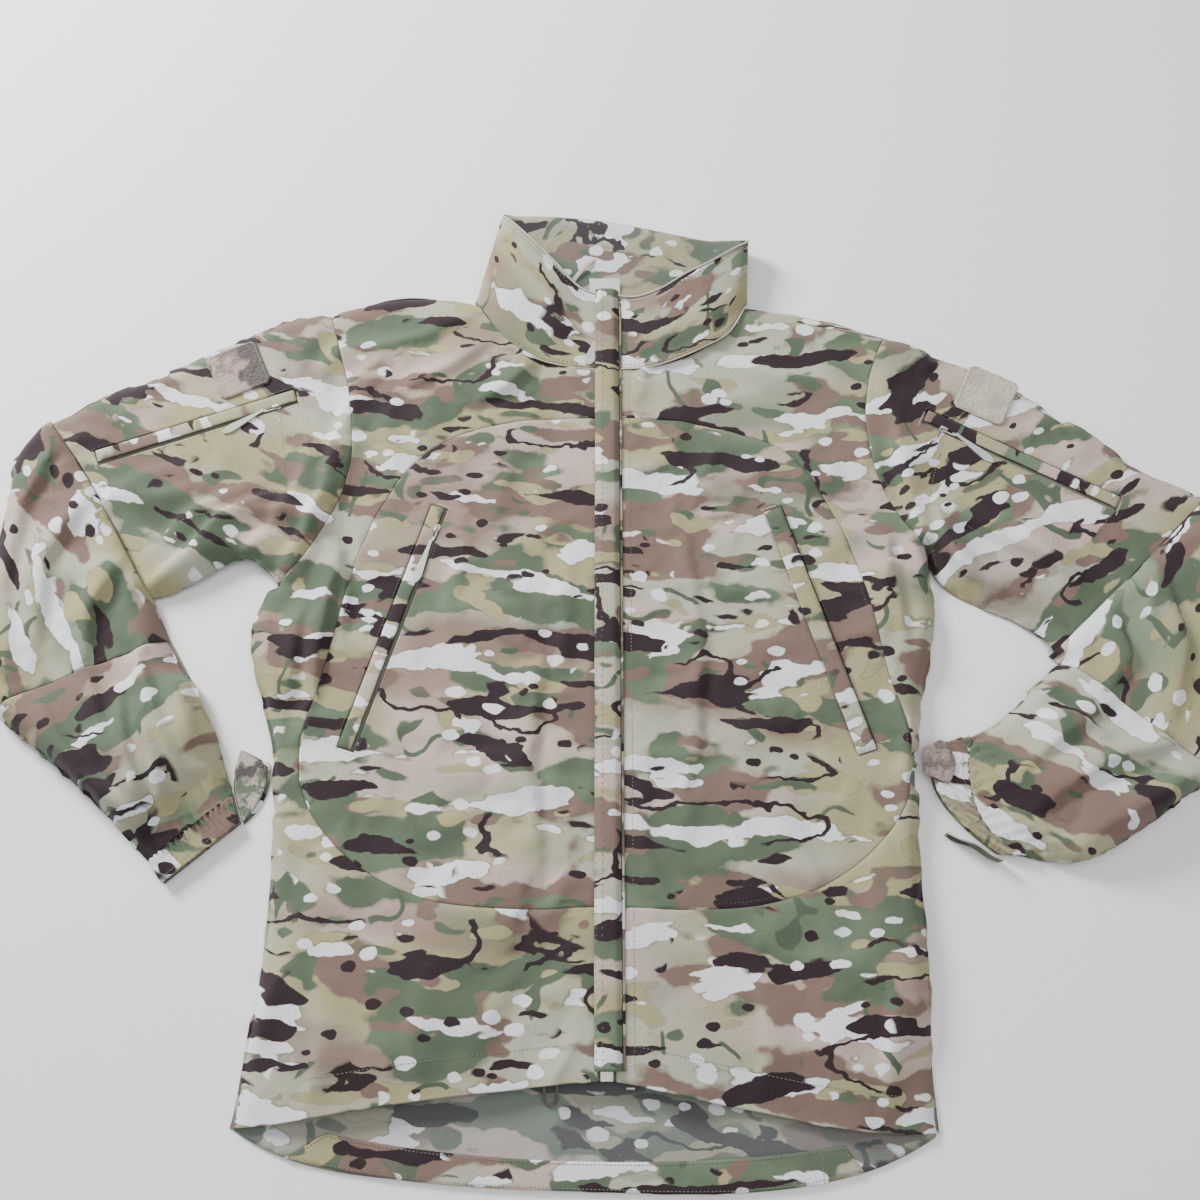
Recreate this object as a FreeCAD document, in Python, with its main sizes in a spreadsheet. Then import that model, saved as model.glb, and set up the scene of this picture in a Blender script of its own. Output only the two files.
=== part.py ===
"""A soft-shell field jacket lying flat on its back, zipped up, sleeves bent, as a parametric document.

+X is the wearer's left, +Y runs from the hem to the collar, +Z is up from the surface it lies on.
The origin is on that surface, under the centre-front zip. Sizes are millimetres.
"""
import FreeCAD, Part
import math
import os

from FreeCAD import Placement, Rotation, Vector

doc = FreeCAD.newDocument("field_jacket")

# ---- driving dimensions -----------------------------------------------------------------
SIZES = {
    "cloth": 1.5,            # thickness of each cloth shell
    "facing": 1.0,           # thinner inner layers: facings, lining, bags
    "body_gap": 14.0,        # underside of the front panels above the surface
    "sleeve_gap": 12.0,      # underside of the upper sleeves
    "elbow_gap": 24.0,       # underside of the bent elbow and the forearm
    "cuff_height": 10.0,     # a flattened cuff band
    "collar_rise": 30.0,     # the collar's rolled side folds
    "collar_depth": 86.0,
    "zip_edge": 7.5,         # front edge of each front panel from the centre line
    "zip_bottom": -411.0,
    "zip_top": 312.0,
    "chain_in": 1.2,         # each half chain, from the centre line
    "chain_out": 3.4,
    "chain_height": 2.2,
    "chain_level": 13.4,     # middle of the chain above the surface
    "tape_out": 16.0,
    "tape_height": 0.8,
    "flap_hinge_x": 13.0,    # sewn edge of the storm flap
    "flap_width": 23.0,
    "flap_level": 21.0,
    "patch": 50.0,
    "patch_pile": 2.0,
    "tab_length": 50.0,
    "tab_height": 16.0,
    "tab_cloth": 2.4,
    "hand_zip": 237.0,
    "arm_zip": 192.0,
    "cord": 2.3,
}
sheet = doc.addObject("Spreadsheet::Sheet", "sizes")
for row, (alias, value) in enumerate(SIZES.items(), 1):
    sheet.set(f"A{row}", alias)
    sheet.set(f"B{row}", str(value))
    sheet.setAlias(f"B{row}", alias)
doc.recompute()
S = {alias: float(sheet.get(alias)) for alias in SIZES}

# ---- outlines, each a list of runs; two points make a straight run, more make a smooth one ----
EDGE = S["zip_edge"]
NECK = {"right": [(-EDGE, 229), (-64, 238), (-103, 264), (-128, 304)],
        "left": [(EDGE, 229), (42, 231), (96, 252), (138, 304)]}
SHOULDER = {"right": [(-128, 304), (-174, 310), (-238, 302), (-268, 290)],
            "left": [(138, 304), (206, 292), (273, 268)]}
ARMHOLE = {"right": [(-268, 290), (-243, 186), (-240, 131), (-254, 76), (-303, 11)],
           "left": [(273, 268), (250, 200), (248, 147), (264, 92), (296, 45)]}
SIDE = {"right": [(-303, 11), (-319, -28), (-298, -117), (-286, -210), (-290, -330), (-304, -445)],
        "left": [(296, 45), (298, 0), (279, -101), (271, -180), (266, -310), (268, -450)]}
HEM = {"right": [(-304, -445), (-217, -432), (-89, -416), (-EDGE, -411)],
       "left": [(268, -450), (193, -443), (66, -421), (EDGE, -411)]}
INSET_TOP, INSET_BOTTOM = 177, -275
INSET = [(EDGE, 177), (62, 175), (118, 163), (162, 146), (197, 106), (229, 30), (254, -84), (267, -152),
         (257, -190), (216, -236), (152, -267), (100, -275), (EDGE, -275)]
BACK_NECK = [(138, 304), (5, 298), (-128, 304)]
BACK_HEM = [(-304, -445), (-258, -468), (-165, -484), (0, -493), (139, -491), (205, -479), (268, -450)]
FACING_TOP = [(262, -434), (190, -459), (110, -468), (0, -471), (-130, -464), (-225, -450), (-294, -428)]
ARM_TOP = {"right": [(-268, 290), (-330, 280), (-386, 253), (-487, 204), (-534, 180)],
           "left": [(273, 268), (349, 237), (403, 208), (487, 144), (565, 102)]}
ELBOW_FOLD = {"right": [(-534, 180), (-502, 139), (-467, 87), (-434, 32), (-414, 0)],
              "left": [(565, 102), (491, 30), (442, -15), (400, -54)]}
UNDERARM = {"right": [(-414, 0), (-369, 22), (-340, 38), (-303, 11)],
            "left": [(400, -54), (354, -13), (325, -1), (296, 45)]}
ELBOW_OUT = {"right": [(-534, 180), (-556, 136), (-567, 75), (-570, -3), (-541, -110)],
             "left": [(565, 102), (612, 64), (636, -6), (614, -90), (540, -165)]}
ELBOW_SEAM = {"right": [(-541, -110), (-489, -82), (-441, -64), (-394, -38)],
              "left": [(540, -165), (481, -123), (433, -80), (409, -63)]}
ELBOW_IN = {"right": [(-394, -38), (-414, 0)],
            "left": [(409, -63), (400, -54)]}
FORE_IN = {"right": [(-325, -180), (-340, -140), (-365, -87), (-394, -38)],
           "left": [(322, -128), (351, -112), (380, -84), (409, -63)]}
FORE_OUT = {"right": [(-541, -110), (-492, -146), (-441, -189), (-392, -237)],
            "left": [(540, -165), (458, -209), (408, -234), (358, -232)]}
CUFF_IN = {"right": [(-392, -237), (-325, -180)],
           "left": [(358, -232), (318, -185), (316, -160), (322, -128)]}
CUFF_OUT = {"right": [(-316, -204), (-377, -255)],
            "left": [(292, -135), (285, -168), (302, -200), (335, -230)]}
CUFF_LOOP = {"right": [(-319, -142), (-297, -154), (-300, -180), (-314, -202), (-323, -180), (-324, -163)],
             "left": [(277, -139), (293, -132), (304, -150), (297, -171), (276, -162)]}
CUFF_BACKING = [(-322, -139), (-295.5, -152), (-297, -181), (-313.5, -205), (-324, -180), (-326, -163)]
TAB_SEWN = (337, -236)          # where the open cuff tab is sewn on
TAB_TURN = 153.0                # the way it points, from +X
PATCH_AT = {"right": (-355, 229, 24.0), "left": (365, 202, -26.5)}
HAND_ZIP_AT = {"right": (-191, -28, -17.7), "left": (192, -30, 17.7)}
ARM_ZIP_AT = {"right": (-389, 169, -70.6), "left": (391, 135, 62.3)}


def back(points):
    return points[::-1]


def flip(points):
    return [(-x, y) for x, y in points]


# ---- small tools for bodies, sketches and features ----------------------------------------
nodes = []


def bind(feature, prop, expression):
    """Ties a feature's property to the spreadsheet."""
    feature.setExpression(prop, expression)


def new_body(name):
    body = doc.addObject("PartDesign::Body", name)
    body.Label = name
    nodes.append(body)
    return body


def new_sketch(body, runs, level="0", plane="XY_Plane"):
    """A sketch of one closed outline, on a plane of the body's own, raised by an expression."""
    sketch = body.newObject("Sketcher::SketchObject", body.Name + "_sketch")
    origin = next(f for f in body.Origin.OriginFeatures if f.Role == plane)
    sketch.AttachmentSupport = [(origin, "")]
    sketch.MapMode = "FlatFace"
    bind(sketch, "AttachmentOffset.Base.z", level)
    for run in runs:
        ends = [Vector(x, y, 0) for x, y in run]
        if len(ends) == 2:
            sketch.addGeometry(Part.LineSegment(*ends), False)
        else:
            curve = Part.BSplineCurve()
            curve.interpolate(ends)
            sketch.addGeometry(curve, False)
    doc.recompute()
    return sketch


def polygon(points):
    """Straight runs round a list of corners."""
    return [[a, b] for a, b in zip(points, points[1:] + points[:1])]


def smooth_loop(points, corners):
    """Smooth runs round a list of points, broken at the corners, which are given by their places."""
    stops = list(corners) + [corners[0] + len(points)]
    round_trip = points + points[:corners[0] + 1]
    return [round_trip[a:b + 1] for a, b in zip(stops, stops[1:])]


def box_runs(x0, y0, x1, y1):
    return polygon([(x0, y0), (x1, y0), (x1, y1), (x0, y1)])


def pad(body, sketch, length, both=False):
    feature = body.newObject("PartDesign::Pad", body.Name + "_pad")
    feature.Profile = sketch
    feature.Midplane = both
    bind(feature, "Length", length)
    doc.recompute()
    return feature


def pocket(body, sketch, length, both=False, upward=False):
    """Cuts the sketch out of the body, along its plane's normal if upward; the volume has to fall."""
    before = body.Shape.Volume
    feature = body.newObject("PartDesign::Pocket", body.Name + "_pocket")
    feature.Profile = sketch
    feature.Midplane = both
    feature.Reversed = upward
    bind(feature, "Length", length)
    doc.recompute()
    assert body.Shape.Volume < before - 1e-3, f"{feature.Name} cuts nothing"
    return feature


def hollow(body, runs, open_runs, level, length):
    """Cuts the inside out of a padded block, leaving a cloth's thickness of wall along its closed runs."""
    return pocket(body, new_sketch(body, inner_runs(runs, open_runs), level), length, upward=True)


PAST = 4.0             # how far a hollow runs out past an open edge


def inner_runs(runs, open_runs):
    """The outline moved in by the cloth's thickness along the closed runs and out past the open ones."""
    loop = [point for run in runs for point in run[:-1]]
    area = sum(x0 * y1 - x1 * y0 for (x0, y0), (x1, y1) in zip(loop, loop[1:] + loop[:1]))
    way = 1 if area > 0 else -1
    opened = open_runs + [back(run) for run in open_runs]
    moves = [-PAST if run in opened else S["cloth"] for run in runs]

    def heading(start, end):
        long = math.hypot(end[0] - start[0], end[1] - start[1])
        return (end[0] - start[0]) / long, (end[1] - start[1]) / long

    def moved(point, along, distance):
        return point[0] - way * along[1] * distance, point[1] + way * along[0] * distance

    starts, ends, links = [], [], []
    for number, run in enumerate(runs):
        following = runs[(number + 1) % len(runs)]
        out, into = heading(run[-2], run[-1]), heading(following[0], following[1])
        first = moved(run[-1], out, moves[number])
        second = moved(run[-1], into, moves[(number + 1) % len(runs)])
        cross = out[0] * into[1] - out[1] * into[0]
        if abs(cross) > (0.02 if moves[number] == moves[(number + 1) % len(runs)] else 0.45):
            step = ((second[0] - first[0]) * into[1] - (second[1] - first[1]) * into[0]) / cross
            first = second = (first[0] + out[0] * step, first[1] + out[1] * step)
        ends.append(first)
        starts.append(second)
        links.append([first, second] if math.dist(first, second) > 0.01 else None)
    starts = starts[-1:] + starts[:-1]
    result = []
    for run, distance, start, end, link in zip(runs, moves, starts, ends, links):
        inner = [moved(point, heading(before, after), distance)
                 for before, point, after in zip(run, run[1:], run[2:])]
        if link is None:
            joined = end
        else:
            joined = link[0]
        result.append([start] + inner + [joined])
        if link is not None:
            result.append(link)
    for before, after in zip(result, result[1:] + result[:1]):
        after[0] = before[-1]
    return result


def sheet_panel(name, runs, level, thick="sizes.cloth"):
    """A flat cloth panel."""
    body = new_body(name)
    pad(body, new_sketch(body, runs, level), thick)
    return body


def tray_panel(name, runs, open_runs, gap):
    """A cloth panel that lies at a gap above the surface and turns down to the underside at its closed edges."""
    body = new_body(name)
    pad(body, new_sketch(body, runs, "sizes.cloth"), f"sizes.{gap}")
    hollow(body, runs, open_runs, "sizes.cloth", f"sizes.{gap} - sizes.cloth")
    return body


# ---- torso --------------------------------------------------------------------------------
def make_torso():
    sheet_panel("back_panel", [BACK_NECK, SHOULDER["right"], ARMHOLE["right"], SIDE["right"], BACK_HEM,
                               back(SIDE["left"]), back(ARMHOLE["left"]), back(SHOULDER["left"])], "0")
    ends = [BACK_HEM[1:-1], [BACK_HEM[-2], FACING_TOP[1]], FACING_TOP[1:-1], [FACING_TOP[-2], BACK_HEM[1]]]
    sheet_panel("back_hem_facing", ends, "sizes.cloth", "sizes.facing")
    for side, sign in (("right", -1), ("left", 1)):
        inset = INSET if sign > 0 else flip(INSET)
        front = sign * EDGE
        upper = [(front, INSET_TOP), (front, 229)]
        lower = [(front, -411), (front, INSET_BOTTOM)]
        runs = [NECK[side], SHOULDER[side], ARMHOLE[side], SIDE[side], HEM[side], lower, back(inset), upper]
        opened = [NECK[side], ARMHOLE[side], HEM[side], lower, inset, upper]
        tray_panel(f"{side}_front_surround", runs, opened, "body_gap")
        panel = sheet_panel(f"{side}_front_inset", [inset, [inset[-1], inset[0]]], "sizes.body_gap")
        x, y, turn = HAND_ZIP_AT[side]
        window = turned_box(x, y, turn, HAND_WINDOW, S["hand_zip"] + WINDOW_ROOM)
        pocket(panel, new_sketch(panel, window, "sizes.body_gap - 1"), "4 * sizes.cloth", upward=True)


HAND_WINDOW, ARM_WINDOW, WINDOW_ROOM = 17.0, 17.0, 3.0


def turned_box(x, y, turn, width, length):
    """The outline of a window across a slanting zip."""
    a = math.radians(turn)
    corners = [(-width / 2, -length / 2), (width / 2, -length / 2), (width / 2, length / 2), (-width / 2, length / 2)]
    return polygon([(x + u * math.cos(a) - v * math.sin(a), y + u * math.sin(a) + v * math.cos(a))
                    for u, v in corners])


# ---- collar -------------------------------------------------------------------------------
COLLAR_OUT = {"right": (-128, -100), "left": (138, 142)}    # x of the fold at the seam and at the top
COLLAR_TOP_BACK = [(142, 374), (94, 380), (14, 398), (-47, 406), (-100, 402)]
COLLAR_TOP_FRONT = {"right": [(-EDGE, 312), (-30, 321), (-68, 362), (-100, 400)],
                    "left": [(EDGE, 312), (38, 306), (88, 336), (142, 372)]}


def make_collar():
    """A stand collar pressed flat: the back half on the surface, the front halves over it, rolled at the sides."""
    sheet_panel("collar_back", [back(BACK_NECK), [BACK_NECK[0], COLLAR_TOP_BACK[0]], COLLAR_TOP_BACK,
                                [COLLAR_TOP_BACK[-1], BACK_NECK[-1]]], "0")
    lining = [(124, 310), (5, 304), (-114, 310)]
    top = [(128, 370), (90, 374), (14, 391), (-47, 399), (-90, 396)]
    sheet_panel("collar_lining", [back(lining), [lining[0], top[0]], top, [top[-1], lining[-1]]],
                "sizes.cloth", "sizes.facing")
    for side, sign in (("right", -1), ("left", 1)):
        fold = COLLAR_OUT[side]
        out = max(abs(fold[0]), abs(fold[1]))
        rise, wall, base = S["collar_rise"], S["cloth"], S["body_gap"]
        outer = [(EDGE, base + wall), (out * 0.25, base + 2.2), (out * 0.5, base + 6), (out * 0.8, rise),
                 (out - 4, rise - 5), (out, rise - 14), (out - 2, wall)]
        inner = [(out - 2 - wall, wall), (out - wall, rise - 14), (out - 5, rise - 6.5), (out * 0.8, rise - wall),
                 (out * 0.5, base + 6 - wall), (out * 0.25, base + 2.2 - wall), (EDGE, base)]
        band = [(sign * x, z) for x, z in outer], [(sign * x, z) for x, z in inner]
        body = new_body(f"collar_{side}")
        runs = [band[0], [band[0][-1], band[1][0]], band[1], [band[1][-1], band[0][0]]]
        profile = new_sketch(body, runs, "-400", "XZ_Plane")
        feature = pad(body, profile, "3 * sizes.collar_depth")
        if body.Shape.BoundBox.YMax > 500:
            feature.Reversed = True
            doc.recompute()
        neck, rim = NECK[side], COLLAR_TOP_FRONT[side]
        far = sign * 200
        below = [neck] + polygon([neck[-1], (far, 304), (far, 100), (neck[0][0], 100), neck[0]])[:-1]
        above = [rim] + polygon([rim[-1], (far, rim[-1][1]), (far, 500), (rim[0][0], 500), rim[0]])[:-1]
        slant = polygon([(fold[0] + sign * 0.5, 300), (fold[1] + sign * 0.5, 404), (sign * 200, 404),
                         (sign * 200, 300)])
        for outline in [below, above] + [slant] * (abs(fold[0]) > abs(fold[1])):
            pocket(body, new_sketch(body, outline, "-1"), "60", upward=True)


def make_neck_trim():
    label = new_body("neck_label")
    pad(label, new_sketch(label, box_runs(-16, 306, 14, 330), "sizes.cloth + sizes.facing"), "0.5 * sizes.facing")
    loop = new_body("hanger_loop")
    top = [(-24, 1), (-15.6, 1), (-11.6, 7.5), (11.6, 7.5), (15.6, 1), (24, 1)]
    under = [(24, 0), (15, 0), (11, 6.5), (-11, 6.5), (-15, 0), (-24, 0)]
    profile = new_sketch(loop, polygon(top + under), "0", "XZ_Plane")
    pad(loop, profile, "4", both=True)
    place(loop, -21, 347.5, S["cloth"] + S["facing"], 50.0)


# ---- sleeves ------------------------------------------------------------------------------
def make_sleeve(side):
    arm = tray_panel(f"{side}_upper_sleeve", [ARM_TOP[side], ELBOW_FOLD[side], UNDERARM[side], back(ARMHOLE[side])],
                     [ELBOW_FOLD[side], ARMHOLE[side]], "sleeve_gap")
    x, y, turn = ARM_ZIP_AT[side]
    window = turned_box(x, y, turn, ARM_WINDOW, S["arm_zip"] + WINDOW_ROOM)
    pocket(arm, new_sketch(arm, window, "sizes.sleeve_gap - 1"), "4 * sizes.cloth", upward=True)
    tray_panel(f"{side}_elbow", [ELBOW_OUT[side], ELBOW_SEAM[side], ELBOW_IN[side], back(ELBOW_FOLD[side])],
               [ELBOW_SEAM[side], ELBOW_FOLD[side]], "elbow_gap")
    tray_panel(f"{side}_forearm", [FORE_OUT[side], CUFF_IN[side], FORE_IN[side], back(ELBOW_SEAM[side])],
               [ELBOW_SEAM[side], CUFF_IN[side]], "elbow_gap")
    sheet_panel(f"{side}_sleeve_underside", [ARM_TOP[side], ELBOW_OUT[side], FORE_OUT[side], CUFF_IN[side],
                                             FORE_IN[side], ELBOW_IN[side], UNDERARM[side], back(ARMHOLE[side])], "0")
    make_cuff(side)
    patch = new_body(f"{side}_arm_patch")
    pad(patch, new_sketch(patch, rounded_box("sizes.patch", 4.0), "0"), "sizes.patch_pile")
    px, py, pturn = PATCH_AT[side]
    place(patch, px, py, S["sleeve_gap"] + S["cloth"], pturn)


def rounded_box(size_expression, corner):
    """A square patch outline with cut corners, centred on the origin."""
    half = S[size_expression.split(".")[1]] / 2
    inner = half - corner
    return polygon([(-half, -inner), (-inner, -half), (inner, -half), (half, -inner), (half, inner), (inner, half),
                    (-inner, half), (-half, inner)])


def place(body, x, y, z, turn=0.0):
    body.Placement = Placement(Vector(x, y, z), Rotation(Vector(0, 0, 1), turn))


def make_cuff(side):
    """The elastic band as a flattened ring, its loop patch and the tab that stands on edge beside it."""
    inner, outer = CUFF_IN[side], CUFF_OUT[side]
    band = new_body(f"{side}_cuff_band")
    runs = [inner, [inner[-1], outer[0]], outer, [outer[-1], inner[0]]]
    pad(band, new_sketch(band, runs, "0"), "sizes.cuff_height")
    hollow(band, runs, [inner, outer], "sizes.cloth", "sizes.cuff_height - 2 * sizes.cloth")
    elastic = new_body(f"{side}_cuff_elastic")
    a, b = Vector(*inner[0], 0), Vector(*inner[-1], 0)
    c, d = Vector(*outer[0], 0), Vector(*outer[-1], 0)
    corners = [a * 0.55 + d * 0.45, b * 0.55 + c * 0.45, b * 0.35 + c * 0.65, a * 0.35 + d * 0.65]
    middle = (a + b + c + d) * 0.25
    trimmed = [middle + (p - middle) * 0.8 for p in corners]
    strip = new_sketch(elastic, polygon([(p.x, p.y) for p in trimmed]), "sizes.cloth")
    pad(elastic, strip, "sizes.facing")
    loop = new_body(f"{side}_cuff_loop")
    level = {"right": "sizes.cloth", "left": "sizes.cuff_height"}[side]
    pad(loop, new_sketch(loop, smooth_loop(CUFF_LOOP[side], [0, 1, 3, 4]), level), "sizes.patch_pile")


def make_cuff_tabs():
    """The right tab is closed flat under its loop strip; the left one stands open beside the cuff."""
    closed = new_body("right_cuff_tab")
    pad(closed, new_sketch(closed, smooth_loop(CUFF_BACKING, [0, 1, 3, 4]), "0"), "sizes.cloth")
    tab = new_body("left_cuff_tab")
    length, height, thick = S["tab_length"], S["tab_height"], S["tab_cloth"]
    profile = polygon([(0, 0), (length - 9, 0), (length, height / 2 - 3), (length, height / 2 + 3),
                       (length - 9, height), (0, height)])
    sketch = new_sketch(tab, profile, f"{-thick / 2}", "XZ_Plane")
    pad(tab, sketch, "sizes.tab_cloth")
    place(tab, *TAB_SEWN, 0.2, TAB_TURN)


# ---- zips ---------------------------------------------------------------------------------
PIN = 30.0              # length of the insertion pins at the bottom of the front zip


def make_front_zip():
    for side, sign in (("right", -1), ("left", 1)):
        tape = new_body(f"{side}_zip_tape")
        x0, x1 = sorted((sign * S["chain_out"], sign * S["tape_out"]))
        pad(tape, new_sketch(tape, box_runs(x0, S["zip_bottom"] + 1, x1, S["zip_top"]),
                             "sizes.chain_level - 0.5 * sizes.tape_height"), "0.6")
        chain = new_body(f"{side}_zip_chain")
        x0, x1 = sorted((sign * S["chain_in"], sign * S["chain_out"]))
        pad(chain, new_sketch(chain, box_runs(x0, S["zip_bottom"] + PIN, x1, S["zip_top"] - 8),
                              "sizes.chain_level - 0.5 * sizes.chain_height"), "sizes.chain_height")
    stops = new_body("zip_top_stops")
    low, high = S["zip_top"] - 7.5, S["zip_top"] - 4
    for sign in (-1, 1):
        x0, x1 = sorted((sign * (S["chain_in"] - 0.2), sign * S["chain_out"]))
        sketch = new_sketch(stops, box_runs(x0, low, x1, high), "sizes.chain_level - 0.6 * sizes.chain_height")
        pad(stops, sketch, "1.2 * sizes.chain_height")
        if sign < 0:
            stops = new_body("zip_top_stop_left")
    for name, sign in (("zip_insertion_pin", 1), ("zip_retainer_pin", -1)):
        pin = new_body(name)
        x0, x1 = sorted((sign * S["chain_in"], sign * S["chain_out"]))
        sketch = new_sketch(pin, box_runs(x0, S["zip_bottom"] + 10.3, x1, S["zip_bottom"] + PIN - 0.3),
                            "sizes.chain_level - 0.45 * sizes.chain_height")
        pad(pin, sketch, "0.9 * sizes.chain_height")
    box = new_body("zip_retainer_box")
    pad(box, new_sketch(box, box_runs(-5, S["zip_bottom"] + 0.5, 5, S["zip_bottom"] + 10),
                        "sizes.chain_level + 0.5 * sizes.tape_height"), "2.2")
    lower = new_sketch(box, box_runs(-3.2, S["zip_bottom"] + 0.5, 3.2, S["zip_bottom"] + 10),
                       "sizes.chain_level - 2")
    pad(box, lower, "3")


# A slider's own sizes: half width, half length, plate, half channel height, post, bridge half length and height
SLIDERS = {
    "front": {"half_width": 5.4, "half_length": 6.5, "plate": 1.1, "channel": 1.5, "post": 0.8,
              "bridge": 5.2, "bridge_high": 3.0, "eye": 4.2, "link": 3.0, "bar": 1.5},
    "pocket": {"half_width": 3.5, "half_length": 4.6, "plate": 0.8, "channel": 1.0, "post": 0.5,
               "bridge": 3.8, "bridge_high": 2.6, "eye": 1.7, "link": 5.0, "bar": 1.1},
    "hidden": {"half_width": 3.5, "half_length": 4.6, "plate": 0.8, "channel": 1.0, "post": 0.5,
               "bridge": 3.8, "bridge_high": 2.6, "eye": 3.2, "link": 4.0, "bar": 1.1},
}


def make_slider(name, kind, position, turn):
    """Two plates joined by a central post, with a bridge on top. Its origin is the middle of the chain."""
    k = SLIDERS[kind]
    body = new_body(name)
    top = k["channel"] + k["plate"]
    w, half = k["half_width"], k["half_length"]
    outline = polygon([(-w * 0.7, -half), (w * 0.7, -half), (w, -half * 0.2), (w, half * 0.7), (w * 0.75, half),
                       (-w * 0.75, half), (-w, half * 0.7), (-w, -half * 0.2)])
    pad(body, new_sketch(body, outline, f"{-top}"), f"{2 * top}")
    post = k["post"]
    for sign in (-1, 1):
        x0, x1 = sorted((sign * post, sign * (w + 1)))
        channel = new_sketch(body, box_runs(x0, -k["channel"], x1, k["channel"]), "0", "XZ_Plane")
        pocket(body, channel, f"{4 * half}", both=True)
    b, high = k["bridge"], k["bridge_high"]
    arch = polygon([(-b, top - 0.2), (-b + 1.3, top - 0.2), (-b + 1.3, top + high - 1.1),
                    (b - 1.3, top + high - 1.1), (b - 1.3, top - 0.2), (b, top - 0.2), (b, top + high - 0.8),
                    (b - 0.8, top + high), (-b + 0.8, top + high), (-b, top + high - 0.8)])
    pad(body, new_sketch(body, arch, "0", "YZ_Plane"), "2.2", both=True)
    place(body, *position, turn)
    return top


def make_puller(name, kind, position, turn, tab_turn=0.0, length=44.0):
    """An eye round the slider's bridge and a moulded tab. Its origin is the bar under the bridge."""
    k = SLIDERS[kind]
    body = new_body(name)
    eye, bar, reach = k["eye"], k["bar"], k["bridge"] + k["link"]
    out = eye + bar
    neck = min(out, 2.2)
    ring = polygon([(-out, bar / 2), (out, bar / 2), (out, -reach), (neck, -reach - 4), (-neck, -reach - 4),
                    (-out, -reach)])
    pad(body, new_sketch(body, ring, f"{-bar / 2}"), f"{bar}")
    hole = new_sketch(body, box_runs(-eye, -reach, eye, -bar / 2), f"{-bar}")
    pocket(body, hole, f"{3 * bar}", upward=True)
    a = math.radians(tab_turn)
    start = -reach - 3.0
    wide = 4.8 if kind == "front" else 3.6
    profile = [(-1.5, 0.0), (-wide * 0.6, -length * 0.35), (-wide, -length * 0.72), (-wide * 0.6, -length * 0.95),
               (0.0, -length), (wide * 0.6, -length * 0.95), (wide, -length * 0.72), (wide * 0.6, -length * 0.35),
               (1.5, 0.0)]
    tab = [(u * math.cos(a) - v * math.sin(a), start + u * math.sin(a) + v * math.cos(a)) for u, v in profile]
    sketch = new_sketch(body, [tab, [tab[-1], tab[0]]], f"{-bar / 2}")
    pad(body, sketch, "1.6")
    place(body, *position, turn)


def local(at, turn, u, v):
    """A point beside a slanting zip, u across and v along it."""
    a = math.radians(turn)
    return at[0] + u * math.cos(a) - v * math.sin(a), at[1] + u * math.sin(a) + v * math.cos(a)


POCKET_CHAIN = (0.8, 1.7, 0.75)         # each half chain of a pocket zip: inner and outer edge, half height


def make_pocket_zip(prefix, at, turn, length, window, gap, side_out, bag, from_end, tab_turn, tucked):
    """A slanting zip in a window. side_out is the side its cover strip is sewn on, as a sign across the zip.
    The slider is closed at from_end below the top end. A tucked puller lies under the cover strip."""
    x, y = at
    front = S[gap]
    chain_u = -side_out * 4.2
    level = front - 0.4
    inner, outer, half_high = POCKET_CHAIN
    zip_body = new_body(f"{prefix}_zip")
    tape = []
    for sign in (-1, 1):
        u0, u1 = sorted((chain_u + sign * inner, chain_u + sign * outer))
        tape.append((u0, u1))
    left, right = tape
    wide = window / 2 + 4
    pad(zip_body, new_sketch(zip_body, box_runs(left[0], -length / 2, left[1], length / 2), f"{-half_high}"),
        f"{2 * half_high}")
    pad(zip_body, new_sketch(zip_body, box_runs(-wide, -length / 2 - 1, left[0] + 0.2, length / 2 + 1), "-0.35"),
        "0.7")
    second = new_body(f"{prefix}_zip_b")
    pad(second, new_sketch(second, box_runs(right[0], -length / 2, right[1], length / 2), f"{-half_high}"),
        f"{2 * half_high}")
    pad(second, new_sketch(second, box_runs(right[1] - 0.2, -length / 2 - 1, wide, length / 2 + 1), "-0.35"), "0.7")
    for half in (zip_body, second):
        place(half, x, y, level, turn)
    # the cover strip: sewn down on its outer side, standing clear of the slider
    strip = new_body(f"{prefix}_welt")
    rim = side_out * (window / 2 + 2.5)
    free = -side_out * (6.0 if tucked else 0.3)
    high = 4.8 if tucked else 2.4
    foot = S["cloth"] + 0.4
    a0, a1 = sorted((rim, free))
    pad(strip, new_sketch(strip, box_runs(a0, -length / 2, a1, length / 2), f"{high}"), "1.0")
    b0, b1 = sorted((rim, rim - side_out * 1.2))
    pad(strip, new_sketch(strip, box_runs(b0, -length / 2, b1, length / 2), f"{foot}"), f"{high - foot + 0.5}")
    place(strip, x, y, level, turn)
    # the bag behind it
    bag_body = new_body(f"{prefix}_bag")
    pad(bag_body, new_sketch(bag_body, bag, f"sizes.{gap} - 4.5"), "2.0")
    sx, sy = local(at, turn, chain_u, length / 2 - from_end)
    kind = "hidden" if tucked else "pocket"
    top = make_slider(f"{prefix}_slider", kind, (sx, sy, level), turn)
    make_puller(f"{prefix}_puller", kind, (sx, sy, level + top + 0.75), turn, tab_turn, 44.0)


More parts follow.
